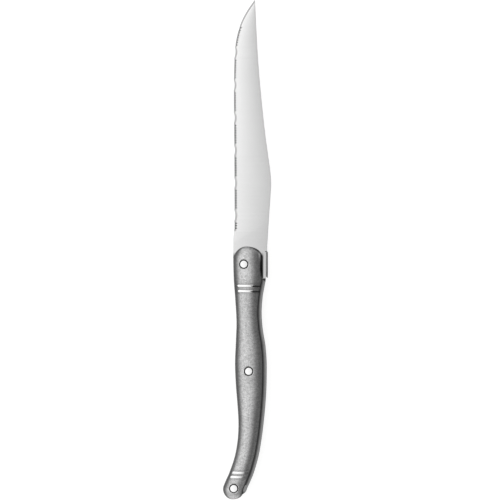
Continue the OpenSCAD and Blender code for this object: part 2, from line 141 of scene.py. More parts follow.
class KnifeSizes(bpy.types.PropertyGroup):
    """Sizes of the knife."""

    blade_length: length("Blade length", "From the front of the handle to the tip", 113.4 * MM)
    blade_width: length("Blade width", "From the cutting edge to the hump of the spine", 17 * MM)
    blade_stock: length("Steel thickness", "Thickness at the hump, the lug and the tang", 1.5 * MM)
    heel_edge: length("Heel edge", "Thickness behind the edge at the heel", 0.36 * MM)
    front_edge: length("Front edge", "Thickness behind the edge before the tip", 0.2 * MM)
    flank_crown: FloatProperty(
        name="Flank crown", description="How much the ground flanks are crowned, where 0 is flat",
        default=0.8, min=0.0, max=1.0, subtype="FACTOR"
    )
    bevel_angle: FloatProperty(
        name="Edge bevel", description="Angle of the edge bevel on the upper side",
        default=math.radians(20), min=math.radians(10), max=math.radians(40), subtype="ANGLE"
    )
    bevel_limit: length("Bevel limit", "Greatest width of the edge bevel", 1 * MM)
    plunge_radius: length("Plunge radius", "Radius in which the flank runs out at the handle", 120 * MM)
    ricasso_length: length("Ricasso", "Full thickness left before the handle", 1.6 * MM)
    spine_round: length("Spine round", "Radius along the edges of the spine", 0.16 * MM)
    tooth_pitch: length("Tooth pitch", "Distance between neighbouring teeth", 1.13 * MM)
    gullet_radius: length("Gullet radius", "Radius of the gullet between two teeth", 0.5 * MM)
    gullet_depth: length("Gullet depth", "Depth of a gullet below the bevel", 0.12 * MM)
    teeth_in_group: IntProperty(name="Teeth", description="Teeth in one group", default=8, min=1)
    scallop_length: length("Scallop length", "Length of a scallop between two groups", 5 * MM)
    scallop_depth: length("Scallop depth", "Depth of a scallop below the bevel", 0.15 * MM)
    scallop_pitch: length("Scallop pitch", "From one scallop to the next", 15 * MM)
    first_scallop: length("First scallop", "From the handle to the first scallop", 14.2 * MM)
    toothed_from: length("Teeth start", "From the handle to the first tooth", 7 * MM)
    handle_length: length("Handle length", "Length of the handle", 116.6 * MM)
    handle_width: length("Handle width", "Width that the handle is drawn to", 14 * MM)
    handle_thickness: length("Handle thickness", "Greatest thickness over both scales", 9.8 * MM)
    nose_belly: length("Nose at the belly", "Length of the front corner at the belly", 6.5 * MM)
    nose_back: length("Nose at the back", "Length of the front corner at the back", 5 * MM)
    nose_rise: length("Nose rise", "Length over which the crown rises", 4.5 * MM)
    butt_belly: length("Butt at the belly", "Length of the butt's corner at the belly", 5.8 * MM)
    butt_back: length("Butt at the back", "Length of the butt's corner at the back", 2.4 * MM)
    butt_fall: length("Butt fall", "Length over which the crown falls", 8 * MM)
    seam_chamfer: length("Seam", "Break of the edge where the scales meet", 0.15 * MM)
    groove_width: length("Groove width", "Width of a groove across the crown", 1.5 * MM)
    groove_depth: length("Groove depth", "Depth of a groove at the crown", 0.35 * MM)
    front_spacing: length("Front grooves", "Distance between the front grooves", 2.45 * MM)
    butt_spacing: length("Butt grooves", "Distance between the butt grooves", 2 * MM)
    heel_depth: length("Heel depth", "How far the blade's full width is let in", 8 * MM)
    tang_length: length("Tang length", "Length of the tang in the handle", 65.6 * MM)
    tang_wall: length("Tang wall", "Scale left between the belly and the tang", 1.9 * MM)
    tang_web: length("Tang web", "Scale left between the tang and the spring", 0.5 * MM)
    tang_corner: length("Tang corner", "Radius of the corners of the tang's end", 2 * MM)
    lug_front: length("Lug front", "From the front of the handle to the lug's shoulder", 2.4 * MM)
    lug_end: length("Lug end", "From the front of the handle to the lug's end", 14.7 * MM)
    lug_reach: length("Lug reach", "Reach of the lug beyond the scales", 1.85 * MM)
    lug_corner: length("Lug corner", "Radius of the lug's outer corner", 1.2 * MM)
    spring_thickness: length("Spring thickness", "Thickness of the spring", 3 * MM)
    spring_proud: length("Spring height", "Height of the spring above the back", 1.45 * MM)
    spring_depth: length("Spring depth", "Depth of the spring between the scales", 2.1 * MM)
    spring_round: length("Spring round", "Radius along the edges of the spring", 0.3 * MM)
    tail_wall: length("Tail wall", "Scale left round the tail of the spring", 1.6 * MM)
    rivet_shank: length("Rivet shank", "Diameter of a rivet's shank", 2.5 * MM)
    rivet_head: length("Rivet head", "Diameter of a rivet's head", 3.3 * MM)
    rivet_recess: length("Rivet recess", "Diameter of the recess round a head", 4.2 * MM)
    rivet_height: length("Rivet height", "Height of a head above its seat", 0.65 * MM)
    rivet_dome: length("Rivet dome", "Height of the dome above the rim", 0.07 * MM)
    fit_clearance: length("Clearance", "Clearance round everything let in", 0.05 * MM)


class KnifeFinish(bpy.types.PropertyGroup):
    """Colours and polish of the knife."""

    blade_colour: tint("Blade", "Satin steel of the blade, next to the edge", 0.89)
    # Painted shade: the blade's steel is made darker across to the spine
    spine_colour: tint("Blade at the spine", "Satin steel of the blade along the spine", 0.57)
    edge_colour: tint("Edge", "Ground steel of the bevel and the scallops", 0.5)
    tooth_colour: tint("Teeth", "Ground steel of the teeth", 0.5)
    # Gullets are painted near black as shade
    gullet_colour: tint("Gullets", "Coarsely ground steel in the gullets", 0.04)
    rim_colour: tint("Plate rim", "Ground steel round the plate on the lug", 0.24)
    # Light end: the worn crown and the painted highlights. Dark end: the pits, and painted shade on the scales,
    # the blade and the spring
    scale_light: tint("Scale, worn", "Tumbled steel where it is worn bright", 0.74)
    scale_dark: tint("Scale, low", "Tumbled steel in the pits and along the seam", 0.04)
    spring_colour: tint("Spring", "Matt steel of the spring", 0.46)
    polish_colour: tint("Polished", "Polished grooves, rivets and fly plate", 0.95)
    # Painted shade: near black in the rivet recesses and on the butt-side walls of the front grooves
    recess_colour: tint("Recess", "Grime in the recesses", 0.04)


class KnifeStage(bpy.types.PropertyGroup):
    """Camera, floor and light."""

    lens: FloatProperty(
        name="Lens", description="Focal length of the camera in millimetres",
        default=300.0, min=1.0, subtype="NONE"
    )
    frame_width: length("Frame width", "Width of the picture at the knife", 230.32 * MM)
    frame_centre: FloatVectorProperty(
        name="Frame centre", description="Middle of the picture on the floor",
        default=(1.36 * MM, -0.07 * MM), size=2, subtype="NONE", unit="LENGTH", precision=5
    )
    floor_colour: tint("Floor", "Plain pale floor", 0.8)
    bright_side: FloatProperty(
        name="Bright side", description="Strength of the soft light on the left", default=1.15, min=0.0
    )
    dark_side: FloatProperty(
        name="Dark side", description="Strength of the soft light on the right", default=0.25, min=0.0
    )
    horizon: FloatProperty(
        name="Horizon", description="Strength of the light that comes in low all round", default=0.3, min=0.0
    )
    key_power: FloatProperty(
        name="Key lamp", description="Power of the key lamp", default=0.3, min=0.0, unit="POWER"
    )


def sizes():
    return bpy.context.scene.knife_sizes


def finish():
    return bpy.context.scene.knife_finish


# Curves

def curve(table, s):
    """Smooth curve through a table of (place, value)."""
    i = 0
    while i < len(table) - 2 and s > table[i + 1][0]:
        i += 1

    def slope(k):
        a, b = table[max(k - 1, 0)], table[min(k + 1, len(table) - 1)]
        return (b[1] - a[1]) / (b[0] - a[0])

    a, b = table[i], table[i + 1]
    span = b[0] - a[0]
    u = min(max((s - a[0]) / span, 0), 1)
    return (
        a[1] * (2 * u**3 - 3 * u**2 + 1) + slope(i) * span * (u**3 - 2 * u**2 + u)
        + b[1] * (3 * u**2 - 2 * u**3) + slope(i + 1) * span * (u**3 - u**2)
    )


def rounded(base, tip, d, reach):
    """Quarter ellipse from a tip to its base line, at a distance d from the end."""
    return base if d >= reach else tip + (base - tip) * math.sqrt(max(1 - (1 - d / reach) ** 2, 0))


def rise(d, reach):
    """Rise of the crown from an end, from 0 to 1."""
    if d >= reach:
        return 1.0
    return max(1 - (1 - d / reach) ** SECTION_POWER, 0) ** (1 / SECTION_POWER)


def smooth(low, high, value):
    """Smooth step from 0 to 1 between two values."""
    u = min(max((value - low) / (high - low), 0), 1)
    return u * u * (3 - 2 * u)


class Lines:
    """Lines of the knife in the part's frame. Distances along the knife count from the front of the handle,
    towards the tip for the blade and towards the butt for the handle."""

    def __init__(self):
        self.s = sizes()
        self.front = CAD_HIGH.y - self.s.blade_length
        self.middle = (CAD_LOW.z + CAD_HIGH.z) / 2
        self.shift, self.low_x, self.high_x = 0.0, -1.0, 1.0
        self.edge_line = self.belly(self.s.heel_depth) - self.s.blade_width * EDGE_SHARES[0][1]
        self.shift = CAD_HIGH.x - self.spine(HUMP_SHARE * self.s.blade_length)
        self.edge_line += self.shift
        self.low_x, self.high_x = CAD_LOW.x, CAD_HIGH.x
        straight = STRAIGHT_EDGE_SHARE * self.s.blade_length
        hump = HUMP_SHARE * self.s.blade_length
        self.fall = (self.s.front_edge - self.s.heel_edge) / 2 / straight
        self.slope = (self.s.blade_stock - self.s.heel_edge) / 2 - self.fall * hump
        self.slope /= self.spine(hump) - self.edge_line
        rise_at_front = self.slope * (self.spine(hump) - self.edge_line)
        self.ground_from = self.s.ricasso_length + math.sqrt(2 * self.s.plunge_radius * rise_at_front)

    def belly(self, d):
        s = self.s
        base = s.handle_width * curve(BELLY_SHARES, d / s.handle_length)
        nose = rounded(base, 0, d, s.nose_belly)
        butt = s.handle_width * BUTT_END_SHARE
        return max(rounded(nose, butt, s.handle_length - d, s.butt_belly) + self.shift, self.low_x)

    def back(self, d):
        s = self.s
        base = s.handle_width * curve(BACK_SHARES, d / s.handle_length)
        nose = rounded(base, 0, d, s.nose_back)
        butt = s.handle_width * BUTT_END_SHARE
        return rounded(nose, butt, s.handle_length - d, s.butt_back) + self.shift

    def crown(self, d):
        s = self.s
        height = s.handle_thickness / 2 * curve(CROWN_SHARES, d / s.handle_length)
        height *= rise(d, s.nose_rise) * rise(s.handle_length - d, s.butt_fall)
        return min(height, (CAD_HIGH.z - CAD_LOW.z) / 2 - TINY)

    def spring_outer(self, d):
        return self.back(d) + self.s.spring_proud * curve(PROUD_SHARES, d / self.s.handle_length)

    def spring_inner(self, d):
        along = smooth(TAIL_SHARES[0], TAIL_SHARES[1], d / self.s.handle_length)
        plain = self.back(d) - self.s.spring_depth
        full = min(self.belly(d), self.spring_outer(d) - 2 * self.s.tail_wall) + self.s.tail_wall
        return plain + (full - plain) * along

    def edge(self, d):
        return self.edge_line + self.s.blade_width * curve(EDGE_SHARES, d / self.s.blade_length)

    def spine(self, d):
        spine = self.edge_line + self.s.blade_width * curve(SPINE_SHARES, d / self.s.blade_length)
        return min(spine, self.high_x)

    def edge_turn(self, d):
        step = self.s.blade_length / 40
        a, b = max(d - step, 0), min(d + step, self.s.blade_length)
        return math.atan2(self.edge(b) - self.edge(a), b - a)

    def flat_flank(self, x, d):
        return self.s.heel_edge / 2 + self.slope * (x - self.edge_line) + self.fall * d

    def flank(self, x, d):
        """Half the thickness of the blade, with its crowned flanks and the run-out before the handle."""
        if d < self.s.ricasso_length / 2:
            return self.s.blade_stock / 2
        near, far = self.edge(d), self.spine(d)
        u = min(max((x - near) / (far - near), 0), 1)
        turned_up = TURN_UP_SHARE * self.slope * max(near - self.edge_line, 0) * (1 - u)
        u += self.s.flank_crown * u * (1 - u)
        half = self.flat_flank(near + u * (far - near), d) - turned_up
        if d < self.ground_from:
            reach = self.s.plunge_radius
            half += reach - math.sqrt(reach**2 - (self.ground_from - d) ** 2)
        return min(half, self.s.blade_stock / 2)

    def gullets(self):
        """Places of the gullets between the teeth."""
        s = self.s
        found = []
        for k in range(-1, self.scallop_count()):
            middle = s.first_scallop + (k + 0.5) * s.scallop_pitch
            for i in range(s.teeth_in_group):
                d = middle + (i - (s.teeth_in_group - 1) / 2) * s.tooth_pitch
                if s.toothed_from + s.gullet_radius < d < s.blade_length - TIP_PLAIN:
                    found.append(d)
        return found

    def scallop_count(self):
        s = self.s
        return int((STRAIGHT_EDGE_SHARE * s.blade_length - s.first_scallop) // s.scallop_pitch) + 1

    def edge_depth(self, d, gullets):
        """Depth of the scallops and gullets below the bevel."""
        s = self.s
        k = round((d - s.first_scallop) / s.scallop_pitch)
        off = 2 * (d - s.first_scallop - k * s.scallop_pitch) / s.scallop_length
        depth = s.scallop_depth * max(1 - off**2, 0) if 0 <= k < self.scallop_count() else 0.0
        near = min(gullets, key=lambda g: abs(g - d))
        off = abs(d - near) / math.cos(self.edge_turn(d))
        if off < s.gullet_radius:
            round_cut = math.sqrt(s.gullet_radius**2 - off**2) - s.gullet_radius + s.gullet_depth
            depth = max(depth, round_cut)
        return depth


# Modelling steps

def clear_selection():
    if bpy.context.object and bpy.context.object.mode != "OBJECT":
        bpy.ops.object.mode_set(mode="OBJECT")
    bpy.ops.object.select_all(action="DESELECT")


def make_active(piece):
    clear_selection()
    piece.select_set(True)
    bpy.context.view_layer.objects.active = piece


def open_edit(piece, kind="VERT", action="SELECT"):
    """Opens a piece for editing, with all of it selected or nothing."""
    make_active(piece)
    bpy.ops.object.mode_set(mode="EDIT")
    bpy.ops.mesh.select_mode(type=kind)
    bpy.ops.mesh.select_all(action=action)


def close_edit():
    bpy.ops.object.mode_set(mode="OBJECT")


def start_piece(name):
    """Names the primitive that was just added and drops the selection of its mesh."""
    piece = bpy.context.object
    piece.name = piece.data.name = name
    open_edit(piece, action="DESELECT")
    close_edit()
    return piece


def pick(piece, test, kind="VERT"):
    """Opens a piece for editing, with the vertices, edges or faces selected that pass a test. The test gets a
    vertex, both ends of an edge, or the middle and the normal of a face."""
    open_edit(piece, kind, "DESELECT")
    close_edit()
    mesh = piece.data
    if kind == "VERT":
        for v in mesh.vertices:
            v.select = test(v.co)
    elif kind == "EDGE":
        for e in mesh.edges:
            e.select = test(*(mesh.vertices[i].co for i in e.vertices))
    else:
        for p in mesh.polygons:
            p.select = test(p.center, p.normal)
    bpy.ops.object.mode_set(mode="EDIT")


def settle(piece):
    """Puts a piece's place and turn into its mesh."""
    make_active(piece)
    bpy.ops.object.transform_apply(location=True, rotation=True, scale=True)


def extrude(x=0.0, y=0.0, z=0.0):
    """Extrudes what is selected."""
    bpy.ops.mesh.extrude_region_move(TRANSFORM_OT_translate={"value": (x, y, z), "orient_type": "GLOBAL"})


def resize(value, middle):
    """Resizes what is selected about a point."""
    bpy.ops.transform.resize(value=value, center_override=middle)


def loft(lines, sections):
    """Carries the selected section along the handle, each time extruding the last one and resizing it. A section
    is its middle, its distance from the front of the handle, its width and its height."""
    for last, here in zip(sections, sections[1:]):
        extrude(here[0] - last[0], last[1] - here[1])
        resize((here[2] / last[2], 1, here[3] / last[3]), (here[0], lines.front - here[1], lines.middle))


def turn_out():
    """Turns the faces of the open piece outwards and closes it."""
    bpy.ops.mesh.select_all(action="SELECT")
    bpy.ops.mesh.normals_make_consistent(inside=False)
    close_edit()


def round_edges(radius):
    """Rounds the selected edges of the open piece and closes it."""
    bpy.ops.mesh.bevel(offset=radius, segments=3, profile=0.5)
    close_edit()


def cut(piece, cutter, operation="DIFFERENCE"):
    """Cuts a piece with another, or joins them, and removes the second."""
    make_active(piece)
    modifier = piece.modifiers.new("Boolean", "BOOLEAN")
    modifier.object, modifier.operation, modifier.solver = cutter, operation, "EXACT"
    bpy.ops.object.modifier_apply(modifier=modifier.name)
    bpy.data.objects.remove(cutter)


def frame_copy(node, grow):
    """A closed copy of a node of the frame, swollen by a clearance."""
    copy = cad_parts[node].copy()
    copy.data = copy.data.copy()
    copy.parent = None
    for key in list(copy.keys()):
        del copy[key]
    bpy.context.scene.collection.objects.link(copy)
    copy.hide_render = copy.hide_viewport = False
    copy.hide_set(False)
    open_edit(copy)
    bpy.ops.mesh.reveal()
    bpy.ops.mesh.select_all(action="SELECT")
    bpy.ops.mesh.remove_doubles(threshold=2 * WELD)
    bpy.ops.mesh.dissolve_limited(angle_limit=math.radians(0.05))
    bpy.ops.transform.shrink_fatten(value=grow, use_even_offset=True)
    close_edit()
    return copy


def cylinder(radius, low, high, middle, vertices=PIN_SIDES):
    """A round bar along Z, as a cutter or the start of a pin."""
    clear_selection()
    bpy.ops.mesh.primitive_cylinder_add(
        vertices=vertices, radius=radius, depth=high - low, location=(middle.x, middle.y, (low + high) / 2)
    )
    bar = bpy.context.object
    settle(bar)
    return bar


def drill(piece, low, high, middle):
    """Drills the hole of a rivet's shank."""
    s = sizes()
    cut(piece, cylinder(s.rivet_shank / 2 + s.fit_clearance, low, high, middle, HOLE_SIDES))


def tidy_mesh(piece, angle=math.radians(35), sides=4):
    """Merges doubles, splits the faces that have more sides than wanted, turns the faces outwards and shades a
    piece smooth up to an angle."""
    open_edit(piece, "FACE")
    bpy.ops.mesh.remove_doubles(threshold=WELD)
    bpy.ops.mesh.select_face_by_sides(number=sides, type="GREATER", extend=False)
    bpy.ops.mesh.quads_convert_to_tris(quad_method="BEAUTY", ngon_method="BEAUTY")
    bpy.ops.mesh.select_all(action="SELECT")
    bpy.ops.mesh.dissolve_degenerate(threshold=SLIVER)
    bpy.ops.mesh.normals_make_consistent(inside=False)
    bpy.ops.mesh.select_all(action="DESELECT")
    close_edit()
    bpy.ops.object.shade_smooth_by_angle(angle=angle)


def hand_over(piece, name, node):
    """Names a finished piece and sets it in the frame in place of a node."""
    piece.name = piece.data.name = name
    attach(piece, BODY)
    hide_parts(node)


def give(piece, *materials):
    piece.data.materials.clear()
    for material in materials:
        piece.data.materials.append(material)


# Materials

def put(tree, kind, inputs=(), **settings):
    """Adds a node, sets its inputs to values or links them, and returns it."""
    made = tree.nodes.new(kind)
    for name, value in settings.items():
        setattr(made, name, value)
    for socket, value in dict(inputs).items():
        if isinstance(value, bpy.types.NodeSocket):
            tree.links.new(value, made.inputs[socket])
        else:
            made.inputs[socket].default_value = value
    return made


def math_node(tree, operation, a, b=0.0):
    return put(tree, "ShaderNodeMath", {0: a, 1: b}, operation=operation).outputs[0]


def times(tree, value, *factors):
    """Product of values."""
    for factor in factors:
        value = math_node(tree, "MULTIPLY", value, factor)
    return value


def plus(tree, value, *others):
    """Sum of values."""
    for other in others:
        value = math_node(tree, "ADD", value, other)
    return value


def weighted(tree, *pairs):
    """Sum of values, each with its weight."""
    return plus(tree, *[times(tree, value, weight) for value, weight in pairs])


def apart(tree, a, b):
    """Distance between two values."""
    return math_node(tree, "ABSOLUTE", math_node(tree, "SUBTRACT", a, b))


def ramp(tree, value, low, high, to_low=0.0, to_high=1.0, kind="SMOOTHSTEP"):
    """Step of a value from one range to another, smooth at its ends unless told otherwise. The value is a length
    in the part's frame, a share of a width or the level of a texture, and the result is a brightness, a roughness
    or a mask."""
    return put(
        tree, "ShaderNodeMapRange",
        {"Value": value, "From Min": low, "From Max": high, "To Min": to_low, "To Max": to_high},
        interpolation_type=kind,
    ).outputs["Result"]


def blend(tree, factor, low, high):
    """Mix of two colours."""
    return put(tree, "ShaderNodeMix", {0: factor, 6: low, 7: high}, data_type="RGBA").outputs[2]


def parts(tree, vector):
    """X, Y and Z of a vector."""
    return put(tree, "ShaderNodeSeparateXYZ", {0: vector}).outputs


def attribute(tree, name):
    return put(tree, "ShaderNodeAttribute", attribute_name=name).outputs["Fac"]


def noise(tree, vector, scale, detail, roughness, distortion=0.0):
    return put(
        tree, "ShaderNodeTexNoise",
        {"Vector": vector, "Scale": scale, "Detail": detail, "Roughness": roughness, "Distortion": distortion},
    ).outputs["Fac"]


def shade(colour, share=1.0):
    """A colour made darker by a share, with its alpha."""
    return tuple(c * share for c in colour) + (1.0,)


def shared(name, setting, default, outputs):
    """Turns a builder into one that gives a node group, built once. The group takes a vector and one setting and
    puts out what the builder returns."""
    kind = "NodeSocketFloat" if isinstance(default, float) else "NodeSocketVector"

    def wrap(build):
        def made_once():
            tree = bpy.data.node_groups.get(name)
            if tree is None:
                tree = bpy.data.node_groups.new(name, "ShaderNodeTree")
                tree.interface.new_socket("Vector", in_out="INPUT", socket_type="NodeSocketVector")
                tree.interface.new_socket(setting, in_out="INPUT", socket_type=kind).default_value = default
                for label in outputs:
                    tree.interface.new_socket(label, in_out="OUTPUT", socket_type="NodeSocketFloat")
                given = tree.nodes.new("NodeGroupInput").outputs
                result = tree.nodes.new("NodeGroupOutput").inputs
                for label, value in zip(outputs, build(tree, given["Vector"], given[setting])):
                    tree.links.new(value, result[label])
            return tree
        return made_once
    return wrap


@shared("Tumbled grain", "Scale", 2000.0, ("Speckle", "Height"))
def tumbled_grain(tree, vector, scale):
    """Speckle and pits that a tumbled surface keeps."""
    grain = noise(tree, vector, scale, 3.0, 0.65)
    coarse = noise(tree, vector, times(tree, scale, 0.3), 2.0, 0.5)
    pits = put(
        tree, "ShaderNodeTexVoronoi", {"Vector": vector, "Scale": times(tree, scale, 0.7)}, feature="SMOOTH_F1"
    ).outputs["Distance"]
    speckle = weighted(tree, (grain, 0.7), (coarse, 0.3))
    height = weighted(tree, (grain, 1.0), (ramp(tree, pits, 0.1, 0.5), 0.6))
    return ramp(tree, speckle, 0.3, 0.7), height


@shared("Grind lines", "Stretch", (300.0, 9000.0, 300.0), ("Lines", "Bands"))
def grind_lines(tree, vector, stretch):
    """Fine lines that a belt or wheel leaves."""
    mapped = put(tree, "ShaderNodeVectorMath", {0: vector, 1: stretch}, operation="MULTIPLY").outputs["Vector"]
    lines = noise(tree, mapped, 1.0, 4.0, 0.7)
    bands = noise(tree, mapped, 0.09, 2.0, 0.5)
    return ramp(tree, lines, 0.25, 0.75), ramp(tree, bands, 0.3, 0.7)


@shared("Handling", "Scale", 120.0, ("Clouds", "Scratches"))
def handling(tree, vector, scale):
    """Soft clouds and hairline scratches left by use."""
    clouds = noise(tree, vector, scale, 4.0, 0.55)
    turned = put(
        tree, "ShaderNodeMapping",
        {"Vector": vector, "Rotation": (0.0, 0.0, math.radians(33)), "Scale": (900.0, 60.0, 200.0)},
    ).outputs["Vector"]
    scratches = noise(tree, turned, 1.0, 1.0, 0.4, 0.3)
    return ramp(tree, clouds, 0.35, 0.65), ramp(tree, scratches, 0.7, 0.76)


def placed(tree, builder, place, **inputs):
    """Puts a node group into a material."""
    return put(tree, "ShaderNodeGroup", {"Vector": place, **inputs}, node_tree=builder()).outputs


def steel(build, *given, name=None):
    """A metal material, built once from the colour, the roughness and the bump's height, strength and distance
    that a builder returns."""
    name = name or build.__name__
    material = bpy.data.materials.get(name)
    if material is None:
        material = bpy.data.materials.new(name)
        material.use_nodes = True
        tree = material.node_tree
        tree.nodes.clear()
        place = put(tree, "ShaderNodeTexCoord").outputs["Object"]
        colour, roughness, height, strength, distance = build(tree, place, *given)
        bump = put(tree, "ShaderNodeBump", {"Height": height, "Strength": strength, "Distance": distance})
        shader = put(
            tree, "ShaderNodeBsdfPrincipled",
            {"Metallic": 1.0, "Base Color": colour, "Roughness": roughness, "Normal": bump.outputs["Normal"]},
        )
        put(tree, "ShaderNodeOutputMaterial", {"Surface": shader.outputs[0]})
    return material


def blade_satin(tree, place):
    """Blade flanks: satin, with fine lines across the blade; painted shade makes them darker from the edge to the
    spine and towards the heel, and dark along the scales and at the lug's shoulder.
    """
    lines = placed(tree, grind_lines, place, Stretch=(160.0, 11000.0, 160.0))
    use = placed(tree, handling, place, Scale=90.0)
    fine = weighted(tree, (lines["Lines"], 0.5), (lines["Bands"], 0.5))
    round_steel = parts(tree, put(tree, "ShaderNodeTexCoord").outputs["UV"])["X"]
    first, last, under = KNIFE_OT_blade.shares()
    top = ramp(tree, round_steel, first, last, kind="LINEAR")
    low = ramp(tree, round_steel, 1.0, under, kind="LINEAR")
    where, front = parts(tree, place), Lines().front
    # Painted shade: the steel is made darker towards the heel
    heel = ramp(tree, where["Y"], front + 5 * MM, front + 95 * MM, kind="LINEAR")
    light = blend(tree, heel, shade(finish().blade_colour, 0.87), shade(finish().blade_colour, 0.99))
    colour = blend(tree, math_node(tree, "MINIMUM", top, low), light, shade(finish().spine_colour))
    colour = blend(tree, times(tree, fine, 0.05), colour, shade((0.0, 0.0, 0.0)))
    # Painted shade on the steel along the scales and at the lug's shoulder
    colour = blend(tree, lug_seams(tree, where), colour, shade(finish().scale_dark, 0.5))
    worn = weighted(tree, (fine, 0.6), (use["Clouds"], 0.4))
    return colour, ramp(tree, worn, 0.0, 1.0, 0.26, 0.18), lines["Lines"], 0.06, 0.004 * MM


def ground_steel(tree, place, colour):
    """Ground steel, with lines across the edge."""
    lines = placed(tree, grind_lines, place, Stretch=(900.0, 16000.0, 900.0))["Lines"]
    mixed = blend(tree, lines, shade(colour, 0.8), shade(colour))
    return mixed, ramp(tree, lines, 0.0, 1.0, 0.34, 0.22), lines, 0.2, 0.006 * MM


def scale_tumbled(tree, place):
    """Handle scales: tumbled and speckled, worn bright on the crown, with a painted highlight band and painted
    shade at the rims, the back side and the lug; darker towards the seam, partly patina and partly painted shade.
    """
    grain = placed(tree, tumbled_grain, place, Scale=3600.0)
    use = placed(tree, handling, place, Scale=70.0)
    where, lines, butt = parts(tree, place), Lines(), CAD_LOW.y
    across = attribute(tree, "across")

    def along(start, end, low, high):
        return ramp(tree, where["Y"], start, end, low, high)

    # The painted highlight band, with painted shade on the back side past it, swings from side to side along the
    # handle
    lean = plus(
        tree, across,
        along(butt + 16 * MM, butt + 8 * MM, 0.0, -0.4),
        along(butt + 36 * MM, butt + 52 * MM, 0.08, -0.14),
        along(lines.front - 30 * MM, lines.front - 16 * MM, 0.0, 0.2),
    )
    # Brightness: darker towards the seam, partly patina in the low places and partly painted shade; painted shade
    # at both rims, more on the belly side, on the back side past the band and along the front of the nose;
    # painted highlight behind the nose and at the butt end; darker next to the grooves; painted shade in the
    # corner at the lug
    worn = times(
        tree, ramp(tree, apart(tree, where["Z"], lines.middle), 0.1 * MM, 3.0 * MM, 0.45, 1.0),
        ramp(tree, math_node(tree, "ABSOLUTE", across), 0.55, 0.95, 1.0, 0.15),
        ramp(tree, across, -0.9, -0.3, 0.62, 1.0),
        ramp(tree, lean, 0.05, 0.7, 1.0, 0.5),
        along(lines.front - 1.6 * MM, lines.front - 0.1 * MM, 1.0, 0.7),
        along(lines.front - 18 * MM, lines.front - 9 * MM, 1.0, 1.16),
        along(butt + 6 * MM, butt + 1 * MM, 1.0, 1.2),
        ramp(tree, attribute(tree, "from_groove"), 0.9, 2.4, 0.74, 1.0),
        lug_grime(tree, where),
    )
    bright = times(
        tree, plus(tree, worn, nose_rim(tree, where)),
        ramp(tree, grain["Speckle"], 0.0, 1.0, 0.5, 1.0),
        ramp(tree, use["Clouds"], 0.0, 1.0, 0.92, 1.0),
    )
    colour = blend(tree, bright, shade(finish().scale_dark), shade(finish().scale_light))
    return colour, ramp(tree, grain["Speckle"], 0.0, 1.0, 0.52, 0.36), grain["Height"], 0.35, 0.03 * MM


def lug_grime(tree, where):
    """Brightness of the painted shade in the corner between a scale and the lug."""
    low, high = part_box("fly_plate")
    back = Lines().back(sizes().lug_end)
    near = ramp(tree, where["X"], back - 1.4 * MM, back - 0.6 * MM)
    along = ramp(tree, where["Y"], low.y - 0.6 * MM, low.y + 0.8 * MM)
    return ramp(tree, times(tree, near, along), 0.0, 1.0, 1.0, 0.05)


def nose_rim(tree, where):
    """Brightness of a painted highlight on the rim at the corner of the nose, next to the lug."""
    front, back = Lines().front, Lines().back(sizes().lug_end)
    return times(
        tree, ramp(tree, where["X"], back - 2.1 * MM, back - 1.6 * MM),
        ramp(tree, where["X"], back - 1.25 * MM, back - 0.95 * MM, 1.0, 0.0),
        ramp(tree, where["Y"], front - 9 * MM, front - 3 * MM, 0.0, 0.4),
    )


def lug_seams(tree, where):
    """Mask of the painted shade on the blade's steel along the scales and at the shoulder of the lug."""
    front, back = Lines().front, Lines().back(sizes().lug_end)
    shoulder = front - sizes().lug_front
    seam = times(
        tree, ramp(tree, where["X"], back + 0.1 * MM, back + 0.55 * MM, 0.9, 0.0),
        ramp(tree, where["Y"], front - 5 * MM, shoulder, 1.0, 0.0),
    )
    step = times(
        tree, ramp(tree, apart(tree, where["Y"], shoulder), 0.1 * MM, 0.35 * MM, 0.8, 0.0),
        ramp(tree, where["X"], back + 0.9 * MM, back + 1.3 * MM),
    )
    return math_node(tree, "MAXIMUM", seam, step)


def spring_matt(tree, place):
    """Spring: matt steel with lines along it, with painted shade next to the scales and at its slanted front end.
    """
    lines = placed(tree, grind_lines, place, Stretch=(7000.0, 260.0, 7000.0))
    grain = placed(tree, tumbled_grain, place, Scale=2600.0)
    mixed = weighted(tree, (lines["Lines"], 0.5), (grain["Speckle"], 0.5))
    plain = blend(tree, mixed, shade(finish().spring_colour, 0.7), shade(finish().spring_colour))
    where, lug_end = parts(tree, place), sizes().lug_end
    end = Lines().front - lug_end + Lines().back(lug_end)
    slant = math_node(tree, "SUBTRACT", plus(tree, where["X"], where["Y"]), end)
    clean = times(
        tree, ramp(tree, attribute(tree, "outward"), -0.2, 0.88, 0.1, 1.0),
        ramp(tree, slant, -0.8 * MM, -0.1 * MM, 1.0, 0.15),
    )
    colour = blend(tree, clean, shade(finish().scale_dark, 0.5), plain)
    return colour, ramp(tree, mixed, 0.0, 1.0, 0.46, 0.32), mixed, 0.2, 0.012 * MM


def steel_polished(tree, place):
    """Grooves, rivets and fly plate: polished, with hairlines from use."""
    use = placed(tree, handling, place, Scale=260.0)
    colour = blend(tree, use["Clouds"], shade(finish().polish_colour, 0.95), shade(finish().polish_colour))
    marks = math_node(tree, "MAXIMUM", use["Scratches"], times(tree, use["Clouds"], 0.5))
    return colour, ramp(tree, marks, 0.0, 1.0, 0.1, 0.24), use["Scratches"], 0.1, 0.003 * MM


def recess_grimed(tree, place):
    """Rivet recesses and the ends of the front grooves: dull, and painted near black as shade."""
    grain = placed(tree, tumbled_grain, place, Scale=4000.0)
    colour = blend(tree, grain["Speckle"], shade(finish().recess_colour, 0.6), shade(finish().recess_colour, 1.4))
    return colour, ramp(tree, grain["Speckle"], 0.0, 1.0, 0.7, 0.5), grain["Height"], 0.3, 0.02 * MM


# Pieces

